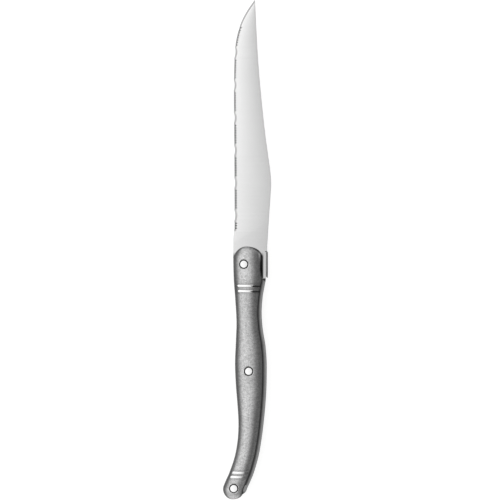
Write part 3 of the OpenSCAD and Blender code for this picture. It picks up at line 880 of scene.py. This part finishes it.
class KNIFE_OT_blade(bpy.types.Operator):
    """Model the blade with its toothed edge, lug and tang."""

    bl_idname = "knife.blade"
    bl_label = "Blade"

    TOP_COLUMNS = 22
    LOW_COLUMNS = 10
    ROUND_STEPS = 3
    BEVEL_STEPS = 4
    TANG_STEPS = 16
    HEEL_STEPS = 8
    FRONT_STEPS = 28
    GULLET_STEPS = 5
    SCALLOP_STEPS = 20
    PLAIN_STEP = 0.45 * MM
    SHOULDER_STEP = 0.004 * MM
    LEAST_STEP = 0.006 * MM
    CORNER_STEPS = 6
    GULLET_LIP = 0.02 * MM
    BEVEL_START = 0.003 * MM
    LEFT_AT_EDGE = 0.12 * MM
    LEFT_AT_TOP = 0.1 * MM
    DEEP_SHARE = 0.3

    @classmethod
    def shares(cls):
        """Where the top flank starts and ends, and the low one starts, as shares of the way round."""
        top, spine = cls.BEVEL_STEPS + cls.TOP_COLUMNS, 2 * cls.ROUND_STEPS
        whole = top + spine + 1 + cls.LOW_COLUMNS
        return cls.BEVEL_STEPS / whole, top / whole, (top + spine + 1) / whole

    def stations(self, lines, gullets):
        """Distances from the front of the handle at which the blade gets a section."""
        s = lines.s
        step = self.SHOULDER_STEP
        quarter = [math.radians(90 * k / self.CORNER_STEPS) for k in range(self.CORNER_STEPS + 1)]
        found = [-s.tang_length + s.tang_corner * (1 - math.cos(a)) for a in quarter]
        found += [-s.lug_end + s.lug_corner * (1 - math.cos(a)) for a in quarter]
        for shoulder in (s.lug_end, s.heel_depth, s.lug_front):
            found += [-shoulder - step, -shoulder + step]
        tang = s.tang_length - s.tang_corner - s.lug_end
        found += [-s.lug_end - tang * k / self.TANG_STEPS for k in range(1, self.TANG_STEPS)]
        found += [-s.heel_depth * k / self.HEEL_STEPS for k in range(1, self.HEEL_STEPS)] + [0.0]
        found += [s.toothed_from * k / self.FRONT_STEPS for k in range(1, self.FRONT_STEPS + 1)]
        found += [s.toothed_from - step, s.toothed_from + step]
        half = math.sqrt(s.gullet_radius**2 - (s.gullet_radius - s.gullet_depth) ** 2)
        for g in gullets:
            wide = half * math.cos(lines.edge_turn(g))
            for side in (-1, 1):
                found += [g + side * wide * k / self.GULLET_STEPS for k in range(self.GULLET_STEPS + 1)]
                found.append(g + side * (wide + self.GULLET_LIP))
        shares = [j / self.SCALLOP_STEPS - 0.5 for j in range(self.SCALLOP_STEPS + 1)]
        for k in range(lines.scallop_count()):
            middle = s.first_scallop + k * s.scallop_pitch
            found += [middle + s.scallop_length * share for share in shares]
        plain = int((s.blade_length - s.toothed_from) / self.PLAIN_STEP)
        found += [s.toothed_from + self.PLAIN_STEP * k for k in range(plain)]
        found += [s.blade_length]
        kept = []
        for d in sorted(found):
            if not kept or d - kept[-1] > self.LEAST_STEP or (d < 0 and d - kept[-1] > step):
                kept.append(d)
        return kept

    def sides(self, lines, d):
        """Outline of the steel at a distance from the front of the handle: belly side and back."""
        s = lines.s
        if d >= 0:
            return lines.edge(d), lines.spine(d)
        left = lines.edge(0)
        if d < -s.heel_depth:
            left = lines.belly(-d) + s.tang_wall
        if d > -s.lug_front:
            right = lines.spine(0)
        elif d > -s.lug_end:
            right = lines.back(s.lug_end) + s.lug_reach - self.tuck(d + s.lug_end, s.lug_corner)
        else:
            right = lines.back(-d) - s.spring_depth - s.tang_web
        tuck = self.tuck(d + s.tang_length, s.tang_corner)
        return left + tuck, right - tuck

    def tuck(self, d, corner):
        """How far a round corner draws the outline in, at a distance from the end."""
        past = min(max(d / corner, 0), 1)
        return corner * (1 - math.sqrt(1 - (1 - past) ** 2))

    def section(self, lines, gullets, d):
        """Points (x, z) once round the steel, from the cutting edge over the top and back."""
        s = lines.s
        near, far = self.sides(lines, d)
        bevelled = smooth(-self.BEVEL_START, self.BEVEL_START, d - s.toothed_from)
        half = (lambda x: lines.flank(x, d)) if d > 0 else (lambda x: s.blade_stock / 2)
        turn = math.cos(lines.edge_turn(d)) if d > 0 else 1.0
        if bevelled:
            inset = lines.edge_depth(d, gullets) / (math.sin(s.bevel_angle) * turn)
            near = min(near + bevelled * inset, far - self.LEFT_AT_EDGE)
        climb = math.tan(s.bevel_angle) * turn - 2 * lines.slope
        width = min(2 * half(near) / climb, s.bevel_limit)
        top = min(near + bevelled * width, far - self.LEFT_AT_TOP)
        soft = min(s.spine_round, 0.3 * (far - top), 0.5 * half(far))
        steps = self.BEVEL_STEPS
        points = [
            (near + (top - near) * k / steps, -half(near) + (half(top) + half(near)) * k / steps)
            for k in range(steps)
        ]
        for k in range(self.TOP_COLUMNS + 1):
            x = top + (far - soft - top) * k / self.TOP_COLUMNS
            points.append((x, half(x)))
        corner = half(far - soft) - soft
        turns = [math.radians(90 * k / self.ROUND_STEPS) for k in range(1, self.ROUND_STEPS + 1)]
        points += [(far - soft + soft * math.sin(a), corner + soft * math.cos(a)) for a in turns]
        points += [(far - soft + soft * math.sin(a), -corner - soft * math.cos(a)) for a in reversed(turns)]
        for k in range(self.LOW_COLUMNS + 1):
            x = far - soft + (near - far + soft) * k / self.LOW_COLUMNS
            points.append((x, -half(x)))
        return points

    def execute(self, context):
        lines = Lines()
        s = lines.s
        gullets = lines.gullets()
        places = self.stations(lines, gullets)
        rings = [self.section(lines, gullets, d) for d in places]
        columns = len(rings[0]) - 1

        # A grid with one row for each section is rolled round the steel
        clear_selection()
        bpy.ops.mesh.primitive_grid_add(x_subdivisions=columns, y_subdivisions=len(places) - 1, size=1)
        blade = start_piece("blade")
        if len(blade.data.vertices) != (columns + 1) * len(places):
            raise RuntimeError("the grid has %d vertices" % len(blade.data.vertices))
        flat = []
        for d, ring in zip(places, rings):
            for x, z in ring:
                flat += (x, lines.front + d, lines.middle + z)
        blade.data.vertices.foreach_set("co", flat)
        blade.data.update()

        give(
            blade, steel(blade_satin), steel(ground_steel, finish().edge_colour, name="edge_ground"),
            steel(ground_steel, finish().tooth_colour, name="teeth_ground"),
            steel(ground_steel, finish().gullet_colour, name="gullet_ground"),
        )
        toothed = [(g - s.tooth_pitch / 2, g + s.tooth_pitch / 2) for g in gullets]
        for p in blade.data.polygons:
            row, column = divmod(p.index, columns)
            if places[row] < s.toothed_from or column >= self.BEVEL_STEPS:
                continue
            d = (places[row] + places[row + 1]) / 2
            tooth = any(low < d < high for low, high in toothed)
            # Faces deep in a gullet take the near-black gullet material, painted shade
            deep = tooth and lines.edge_depth(d, gullets) > s.gullet_depth * self.DEEP_SHARE
            p.material_index = 3 if deep else 2 if tooth else 1

        # The rolled grid is closed along the edge and at both ends
        open_edit(blade)
        bpy.ops.mesh.remove_doubles(threshold=WELD)
        bpy.ops.mesh.select_all(action="DESELECT")
        bpy.ops.mesh.select_non_manifold(
            extend=False, use_wire=False, use_multi_face=False, use_non_contiguous=False, use_verts=False
        )
        bpy.ops.mesh.edge_face_add()
        close_edit()

        for node in RIVETS[:2]:
            low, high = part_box(node)
            drill(blade, low.z, high.z, (low + high) / 2)
        tidy_mesh(blade, angle=math.radians(14))
        hand_over(blade, "knife_blade", "blade")
        return {"FINISHED"}


class KNIFE_OT_scales(bpy.types.Operator):
    """Model the two domed handle scales with their grooves, recesses and pockets."""

    bl_idname = "knife.scales"
    bl_label = "Scales"

    HALF_RING = 44
    END_STEPS = 20
    GROOVE_STEPS = 7
    CLOSE = 0.01 * MM
    END_BAND = 0.004 * MM
    GROOVE_LIP = 0.05 * MM

    # How far polish and the painted shade in the front grooves reach: across a groove, up the crown and across
    # the handle
    POLISH_HALF, POLISH_LIFT, POLISH_BOW, POLISH_SIDE = 0.72, 0.66, 0.16, 0.4
    GRIME_HALF, GRIME_LIFT, GRIME_SPREAD, GRIME_SIDE = 0.86, 0.3, 3, 0.15

    def groove_places(self, s):
        pairs = zip(GROOVE_SHARES, (s.front_spacing, s.butt_spacing))
        return [share * s.handle_length + side * gap / 2 for share, gap in pairs for side in (-1, 1)]

    def groove_dip(self, s, d):
        """Depth of the grooves at a distance from the front of the handle."""
        radius = ((s.groove_width / 2) ** 2 + s.groove_depth**2) / (2 * s.groove_depth)
        dip = 0.0
        for place in self.groove_places(s):
            off = d - place
            if abs(off) < s.groove_width / 2:
                dip = math.sqrt(radius**2 - off**2) - radius + s.groove_depth
        return dip

    def stations(self, s):
        """Distances from the front of the handle at which a scale gets a section."""
        ends = [(k / self.END_STEPS) ** 2 for k in range(1, self.END_STEPS)]
        found = [s.nose_rise * k for k in ends] + [s.handle_length - s.butt_fall * k for k in ends]
        body = s.handle_length - s.nose_rise - s.butt_fall
        count = round(body / MM)
        found += [s.nose_rise + body * k / count for k in range(count + 1)]
        half = s.groove_width / 2
        grooves = self.groove_places(s)
        found = [d for d in found if all(abs(d - g) > half + 2 * self.GROOVE_LIP for g in grooves)]
        steps = self.GROOVE_STEPS
        for g in grooves:
            found += [g + half * k / steps for k in range(-steps, steps + 1)]
            found += [g - half - self.GROOVE_LIP, g + half + self.GROOVE_LIP]
        return sorted(found)

    def shown(self, s, d):
        """Distance at which a section is put: the butt closes where the frame's loft closes."""
        butt = CAD_LOW.y - (CAD_HIGH.y - s.blade_length - s.handle_length)
        left = s.handle_length - d
        return d if left > s.butt_fall else d - butt * (1 - left / s.butt_fall)

    def across(self, lines, point):
        """Place of a point across the handle, from -1 at the belly to 1 at the back."""
        d = lines.front - point.y
        left, right = lines.belly(d), lines.back(d)
        return (2 * point.x - left - right) / max(right - left, MM)

    def model(self, lines):
        """The front scale, lofted from a half ring that is extruded from the nose to the butt."""
        s = lines.s
        places = self.stations(s)
        sections = []
        for d in places:
            left, right = lines.belly(d), lines.back(d)
            crown = lines.crown(d) - self.groove_dip(s, d)
            sections.append(((left + right) / 2, self.shown(s, d), (right - left) / 2, crown))
        middle, start, width, crown = sections[0]
        clear_selection()
        bpy.ops.mesh.primitive_circle_add(
            vertices=2 * self.HALF_RING, radius=1.0, rotation=(math.radians(90), 0, 0)
        )
        scale = start_piece("front_scale_loft")
        settle(scale)
        pick(scale, lambda co: co.z < -1e-4)
        bpy.ops.mesh.delete(type="VERT")
        close_edit()

        # The half ring is squared a little and gets the break along the seam
        ends = []
        for v in scale.data.vertices:
            x, z = v.co.x, max(v.co.z, 0.0)
            if z < 1e-4:
                ends.append(v.index)
            v.co.x = math.copysign(abs(x) ** (2 / SECTION_POWER), x)
            v.co.z = z ** (2 / SECTION_POWER)
        for v in scale.data.vertices:
            v.co = (
                middle + width * v.co.x, lines.front - start,
                lines.middle + s.seam_chamfer * crown / (s.handle_thickness / 2)
                + v.co.z * crown * (1 - 2 * s.seam_chamfer / s.handle_thickness),
            )
        open_edit(scale, action="DESELECT")
        close_edit()
        for i in ends:
            scale.data.vertices[i].select = True
        bpy.ops.object.mode_set(mode="EDIT")
        bpy.ops.mesh.extrude_vertices_move(TRANSFORM_OT_translate={"value": (0, 0, 0)})
        share = 1 - 2 * s.seam_chamfer / s.handle_width
        resize((share, 1, 0), (middle, lines.front - places[0], lines.middle))
        bpy.ops.mesh.select_all(action="SELECT")
        loft(lines, sections)

        # The loft is closed at both ends and then along the flat face between the scales
        for section in (sections[0], sections[-1]):
            end = lines.front - section[1]
            pick(scale, lambda co: abs(co.y - end) < self.END_BAND)
            bpy.ops.mesh.edge_face_add()
        pick(scale, lambda co: abs(co.z - lines.middle) < TINY)
        bpy.ops.mesh.edge_face_add()
        turn_out()
        return scale

    def execute(self, context):
        lines = Lines()
        s = lines.s
        front = self.model(lines)
        rivets = []
        for node in RIVETS:
            low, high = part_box(node)
            middle = (low + high) / 2
            seat = high.z - s.rivet_height
            rivets.append((middle, seat))
            cut(front, cylinder(s.rivet_recess / 2, seat, CAD_HIGH.z + OVERRUN, middle, RECESS_SIDES))
            drill(front, CAD_LOW.z, CAD_HIGH.z, middle)
        for node in ("blade", "back_spring"):
            cut(front, frame_copy(node, s.fit_clearance))

        # Each corner keeps its place across the handle and its distance from the nearest groove, in half widths
        # of a groove
        grooves = self.groove_places(s)
        for name in ("across", "from_groove"):
            front.data.attributes.new(name, "FLOAT", "POINT")
        marks = front.data.attributes
        for v, across, away in zip(front.data.vertices, marks["across"].data, marks["from_groove"].data):
            d = lines.front - v.co.y
            across.value = self.across(lines, v.co)
            away.value = min(abs(d - g) for g in grooves) / (s.groove_width / 2)

        # Polished grooves, with painted shade in the front ones towards the back, and recesses painted near black
        # as shade
        give(front, steel(scale_tumbled), steel(steel_polished), steel(recess_grimed))
        for p in front.data.polygons:
            d = lines.front - p.center.y
            off = (d - min(grooves, key=lambda g: abs(d - g))) / (s.groove_width / 2)
            lift = (p.center.z - lines.middle) / max(lines.crown(d), MM)
            side = self.across(lines, p.center)
            bow = self.POLISH_LIFT + self.POLISH_BOW * off**2
            if abs(off) < self.POLISH_HALF and lift > bow and side < self.POLISH_SIDE:
                p.material_index = 1
            # Painted shade: the butt-side walls of the front grooves on the back side take the near-black recess
            # material
            spread = min(self.GRIME_HALF, self.GRIME_SPREAD * (side - self.GRIME_SIDE))
            if 0 < off < spread and lift > self.GRIME_LIFT and d < s.handle_length / 2:
                p.material_index = 2
            # Recess walls and seats take the near-black recess material as painted shade
            for middle, seat in rivets:
                reach = (p.center.xy - middle.xy).length
                inside = reach < s.rivet_recess / 2 + self.CLOSE and p.center.z > seat - self.CLOSE
                if inside and (abs(p.normal.z) < 0.5 or p.center.z < seat + self.CLOSE):
                    p.material_index = 2

        tidy_mesh(front, angle=math.radians(28), sides=3)
        rear = front.copy()
        rear.data = front.data.copy()
        context.scene.collection.objects.link(rear)
        open_edit(rear)
        resize((1, 1, -1), (0, 0, lines.middle))
        bpy.ops.mesh.flip_normals()
        close_edit()
        hand_over(front, "handle_front_scale", "front_scale")
        hand_over(rear, "handle_rear_scale", "rear_scale")
        return {"FINISHED"}


class KNIFE_OT_spring(bpy.types.Operator):
    """Model the spring along the back of the handle."""

    bl_idname = "knife.spring"
    bl_label = "Spring"

    STEPS = 88
    TAIL_STEPS = 40

    def execute(self, context):
        lines = Lines()
        s = lines.s
        start = s.lug_end + s.fit_clearance
        end = TAIL_SHARES[2] * s.handle_length
        tail = PROUD_SHARES[1][0] * s.handle_length
        places = [start + (tail - start) * k / self.STEPS for k in range(self.STEPS)]
        places += [tail + (end - tail) * k / self.TAIL_STEPS for k in range(self.TAIL_STEPS + 1)]
        sections = []
        for d in places:
            inner, outer = lines.spring_inner(d), lines.spring_outer(d)
            sections.append(((inner + outer) / 2, d, outer - inner, 1.0))
        first = (sections[0][0], lines.front - start, lines.middle)
        clear_selection()
        bpy.ops.mesh.primitive_plane_add(size=1, rotation=(math.radians(90), 0, 0), location=first)
        spring = start_piece("spring_loft")
        settle(spring)
        open_edit(spring)
        resize((sections[0][2], 1, s.spring_thickness), first)
        loft(lines, sections)
        turn_out()

        # Each corner keeps its place between the scales' back, 0, and the outer face, 1, for the painted shade
        # next to the scales
        outward = spring.data.attributes.new("outward", "FLOAT", "POINT")
        for v, mark in zip(spring.data.vertices, outward.data):
            d = lines.front - v.co.y
            mark.value = (v.co.x - lines.back(d)) / s.spring_proud

        # The four long edges are rounded
        half = s.spring_thickness / 2

        def long_edge(a, b):
            level = abs(abs(a.z - lines.middle) - half) < TINY and abs(a.z - b.z) < TINY
            return level and abs(a.y - b.y) > 10 * TINY

        pick(spring, long_edge, "EDGE")
        round_edges(s.spring_round)
        low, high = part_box("butt_rivet")
        drill(spring, low.z, high.z, (low + high) / 2)
        give(spring, steel(spring_matt))
        tidy_mesh(spring)
        hand_over(spring, "handle_back_spring", "back_spring")
        return {"FINISHED"}


class KNIFE_OT_rivets(bpy.types.Operator):
    """Model the three rivets with a domed head at both ends."""

    bl_idname = "knife.rivets"
    bl_label = "Rivets"

    DOME_STEPS = 7
    RIM_ROUND = 0.08 * MM

    def head(self, pin, s, middle, seat, side):
        """Turns one end of a pin into a domed head."""
        end = middle.z + side * seat
        pick(pin, lambda c, n: abs(c.z - end) < TINY and n.z * side > 0.9, "FACE")
        grown = s.rivet_head / s.rivet_shank
        place = (middle.x, middle.y, end)
        extrude()
        resize((grown, grown, 1), place)
        extrude(z=side * (s.rivet_height - s.rivet_dome))
        radius = ((s.rivet_head / 2) ** 2 + s.rivet_dome**2) / (2 * s.rivet_dome)
        before, low = s.rivet_head / 2, 0.0
        for k in range(1, self.DOME_STEPS + 1):
            reach = s.rivet_head / 2 * (1 - k / (self.DOME_STEPS + 0.6))
            high = math.sqrt(radius**2 - reach**2) - radius + s.rivet_dome
            extrude(z=side * (high - low))
            resize((reach / before, reach / before, 1), place)
            before, low = reach, high
        close_edit()

    def execute(self, context):
        s = sizes()
        for node in RIVETS:
            low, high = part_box(node)
            middle = (low + high) / 2
            seat = high.z - middle.z - s.rivet_height
            pin = cylinder(s.rivet_shank / 2, middle.z - seat, middle.z + seat, middle)
            for side in (-1, 1):
                self.head(pin, s, middle, seat, side)
            rim, lift = s.rivet_head / 2, seat + s.rivet_height - s.rivet_dome

            def on_rim(a, b):
                far = all(abs((p.xy - middle.xy).length - rim) < TINY for p in (a, b))
                return far and abs(a.z - b.z) < TINY / 10 and abs(abs(a.z - middle.z) - lift) < TINY

            pick(pin, on_rim, "EDGE")
            round_edges(self.RIM_ROUND)
            give(pin, steel(steel_polished))
            tidy_mesh(pin)
            hand_over(pin, "handle_" + node, node)
        return {"FINISHED"}


class KNIFE_OT_fly_plate(bpy.types.Operator):
    """Model the fly plate on the back of the lug."""

    bl_idname = "knife.fly_plate"
    bl_label = "Fly plate"

    OUTLINE_STEPS = 40
    BODY_RINGS = 4
    RELIEF = 0.2 * MM
    SEAT = 0.3 * MM
    FACE_ROUND = 0.18 * MM
    SUNK = 0.1 * MM
    WING_SUNK = 0.12 * MM
    WING_RISE = 0.03 * MM

    # Relief: place from the front, reach along the plate and half width, as shares of the plate
    BODY_SHAPE = (0.6, 0.36, 0.17)
    HEAD_SHAPE = (0.13, 0.085, 0.17)
    WING_SHAPE = (0.56, 0.3, 0.14)
    WING_SIDE = 0.26
    WING_TURN = math.radians(14)
    RING_FROM, RING_PITCH, RING_BAND = 0.55, 0.09, 0.02
    RING_WAIST = (0.55, 1, 0.93)

    def ball(self, place, reach, width, height, turn=0.0):
        """A flattened ball on the plate's face, with its poles along the plate."""
        clear_selection()
        bpy.ops.mesh.primitive_uv_sphere_add(
            segments=32, ring_count=20, radius=1.0, location=place, rotation=(math.radians(90), 0, 0)
        )
        ball = start_piece("fly_relief")
        settle(ball)
        open_edit(ball)
        resize((height, reach, width), place)
        if turn:
            bpy.ops.transform.rotate(value=turn, orient_axis="X", center_override=place)
        close_edit()
        return ball

    def execute(self, context):
        s = sizes()
        low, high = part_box("fly_plate")
        reach, width = high.y - low.y, high.z - low.z
        middle = (low.z + high.z) / 2
        under = Lines().back(s.lug_end) + s.lug_reach - self.SEAT
        face = under + high.x - low.x - self.RELIEF
        clear_selection()
        bpy.ops.mesh.primitive_circle_add(
            vertices=2 * self.OUTLINE_STEPS, radius=1.0, fill_type="NGON", rotation=(0, math.radians(90), 0)
        )
        plate = start_piece("fly_plate_blank")
        settle(plate)
        count = len(plate.data.vertices)
        for k, v in enumerate(plate.data.vertices):
            turn = 2 * math.pi * k / count
            share = (1 - math.cos(turn)) / 2
            side = math.copysign(1.0, math.sin(turn)) if 0 < k % (count // 2) else 0.0
            v.co = (under, high.y - share * reach, middle + side * curve(FLY_SHARES, share) * width / 2)
        open_edit(plate)
        extrude(face - under)
        turn_out()
        pick(plate, lambda a, b: a.x > face - TINY and b.x > face - TINY, "EDGE")
        round_edges(self.FACE_ROUND)

        # Relief of a ringed body, a head and two wings
        def relief(shape, sunk, height, side=0.0, turn=0.0):
            at, along, across = shape
            place = (face - sunk, high.y - at * reach, middle + side * width)
            return self.ball(place, along * reach, across * width, height, turn)

        height = self.RELIEF + self.SUNK
        body = relief(self.BODY_SHAPE, self.SUNK, height)
        for k in range(self.BODY_RINGS):
            ring = high.y - (self.RING_FROM + self.RING_PITCH * k) * reach
            pick(body, lambda co: abs(co.y - ring) < self.RING_BAND * reach)
            resize(self.RING_WAIST, (face - self.SUNK, ring, middle))
            close_edit()
        head = relief(self.HEAD_SHAPE, self.SUNK, height)
        height = self.RELIEF + self.WING_RISE
        wings = [
            relief(self.WING_SHAPE, self.WING_SUNK, height, side * self.WING_SIDE, -side * self.WING_TURN)
            for side in (-1, 1)
        ]
        for relief_piece in (*wings, body, head):
            cut(plate, relief_piece, "UNION")
        clear_selection()
        bpy.ops.mesh.primitive_cube_add(size=1, location=(under, (low.y + high.y) / 2, middle))
        seat = bpy.context.object
        seat.scale = (2 * self.SEAT, reach + OVERRUN, s.blade_stock + 2 * s.fit_clearance)
        settle(seat)
        cut(plate, seat)
        give(plate, steel(steel_polished), steel(ground_steel, finish().rim_colour, name="rim_ground"))
        for p in plate.data.polygons:
            if p.normal.x < 0.5:
                p.material_index = 1
        tidy_mesh(plate)
        hand_over(plate, "lug_fly_plate", "fly_plate")
        return {"FINISHED"}


class KNIFE_OT_stage(bpy.types.Operator):
    """Set up the floor, the light and the camera."""

    bl_idname = "knife.stage"
    bl_label = "Stage"

    FLOOR_SIZE = 16
    KEY_PLACE = (-0.62, -0.28, 0.8)
    KEY_SIZE = (0.5, 0.9)
    FLOOR_DIM = 0.4
    FLOOR_GLOW = 0.84
    SENSOR = 36.0

    def floor_material(self, stage):
        material = bpy.data.materials.new("floor_pale")
        material.use_nodes = True
        tree = material.node_tree
        tree.nodes.clear()
        path = put(tree, "ShaderNodeLightPath").outputs
        seen = math_node(tree, "MAXIMUM", path["Is Camera Ray"], path["Is Glossy Ray"])
        seen = math_node(tree, "MAXIMUM", seen, path["Is Transmission Ray"])
        plain = put(tree, "ShaderNodeBsdfDiffuse", {"Color": shade(stage.floor_colour)}).outputs[0]
        dim = put(tree, "ShaderNodeBsdfDiffuse", {"Color": shade(stage.floor_colour, self.FLOOR_DIM)}).outputs[0]
        white = put(tree, "ShaderNodeEmission", {"Color": WHITE, "Strength": self.FLOOR_GLOW}).outputs[0]
        backed = put(tree, "ShaderNodeAddShader", {0: dim, 1: white}).outputs[0]
        mixed = put(tree, "ShaderNodeMixShader", {0: seen, 1: plain, 2: backed}).outputs[0]
        put(tree, "ShaderNodeOutputMaterial", {"Surface": mixed})
        return material

    def world(self, context, stage):
        world = bpy.data.worlds.new("studio")
        context.scene.world = world
        world.use_nodes = True
        tree = world.node_tree
        tree.nodes.clear()
        toward = parts(tree, put(tree, "ShaderNodeTexCoord").outputs["Generated"])
        strength = times(
            tree, ramp(tree, toward["X"], -0.2, 0.72, stage.bright_side, stage.dark_side),
            ramp(tree, toward["Y"], -0.1, 0.6, 1.0, 0.9),
            ramp(tree, toward["Y"], -0.9, -0.3, 0.65, 1.0),
            ramp(tree, toward["Z"], 0.0, 0.45, 0.45, 1.0),
        )
        strength = plus(tree, strength, ramp(tree, toward["Z"], 0.2, 0.42, stage.horizon, 0.0))
        sky = put(tree, "ShaderNodeBackground", {"Color": WHITE, "Strength": strength})
        put(tree, "ShaderNodeOutputWorld", {"Surface": sky.outputs[0]})

    def execute(self, context):
        stage = context.scene.knife_stage
        scene = context.scene
        scene.view_settings.view_transform = "Standard"
        self.world(context, stage)

        clear_selection()
        bpy.ops.mesh.primitive_grid_add(x_subdivisions=4, y_subdivisions=4, size=self.FLOOR_SIZE)
        floor = start_piece("stage_floor")
        give(floor, self.floor_material(stage))

        clear_selection()
        bpy.ops.object.light_add(type="AREA", location=self.KEY_PLACE)
        key = context.object
        key.name = "key_lamp"
        key.data.shape = "RECTANGLE"
        key.data.size, key.data.size_y = self.KEY_SIZE
        key.data.energy = stage.key_power
        key.rotation_euler = (-Vector(key.location)).to_track_quat("-Z", "Y").to_euler()

        clear_selection()
        x, y = stage.frame_centre
        bpy.ops.object.camera_add(rotation=(0, 0, 0))
        camera = context.object
        camera.name = "photo_camera"
        camera.data.lens = stage.lens
        camera.data.sensor_width = self.SENSOR
        away = stage.frame_width / 2 / math.tan(camera.data.angle / 2)
        camera.location = (x, y, (CAD_LOW.z + CAD_HIGH.z) / 2 + away)
        camera.data.clip_start, camera.data.clip_end = 0.01, 100.0
        scene.camera = camera
        return {"FINISHED"}


class VIEW3D_PT_knife(bpy.types.Panel):
    """Sizes, finishes and pieces of the knife."""

    bl_label = "Steak knife"
    bl_space_type = "VIEW_3D"
    bl_region_type = "UI"
    bl_category = "Knife"

    def draw(self, context):
        layout = self.layout
        for operator in OPERATORS:
            layout.operator(operator.bl_idname)
        for settings in (context.scene.knife_sizes, context.scene.knife_finish, context.scene.knife_stage):
            box = layout.box()
            for name in settings.bl_rna.properties.keys():
                if name not in ("rna_type", "name"):
                    box.prop(settings, name)


SETTINGS = (KnifeSizes, KnifeFinish, KnifeStage)
OPERATORS = (
    KNIFE_OT_blade, KNIFE_OT_scales, KNIFE_OT_spring, KNIFE_OT_rivets, KNIFE_OT_fly_plate, KNIFE_OT_stage,
)


def register():
    for cls in (*SETTINGS, *OPERATORS, VIEW3D_PT_knife):
        bpy.utils.register_class(cls)
    bpy.types.Scene.knife_sizes = PointerProperty(type=KnifeSizes)
    bpy.types.Scene.knife_finish = PointerProperty(type=KnifeFinish)
    bpy.types.Scene.knife_stage = PointerProperty(type=KnifeStage)


def unregister():
    del bpy.types.Scene.knife_stage
    del bpy.types.Scene.knife_finish
    del bpy.types.Scene.knife_sizes
    for cls in reversed((*SETTINGS, *OPERATORS, VIEW3D_PT_knife)):
        bpy.utils.unregister_class(cls)


def main():
    register()
    bpy.ops.knife.stage()
    bpy.ops.knife.blade()
    bpy.ops.knife.scales()
    bpy.ops.knife.spring()
    bpy.ops.knife.rivets()
    bpy.ops.knife.fly_plate()


if __name__ == "__main__":
    main()
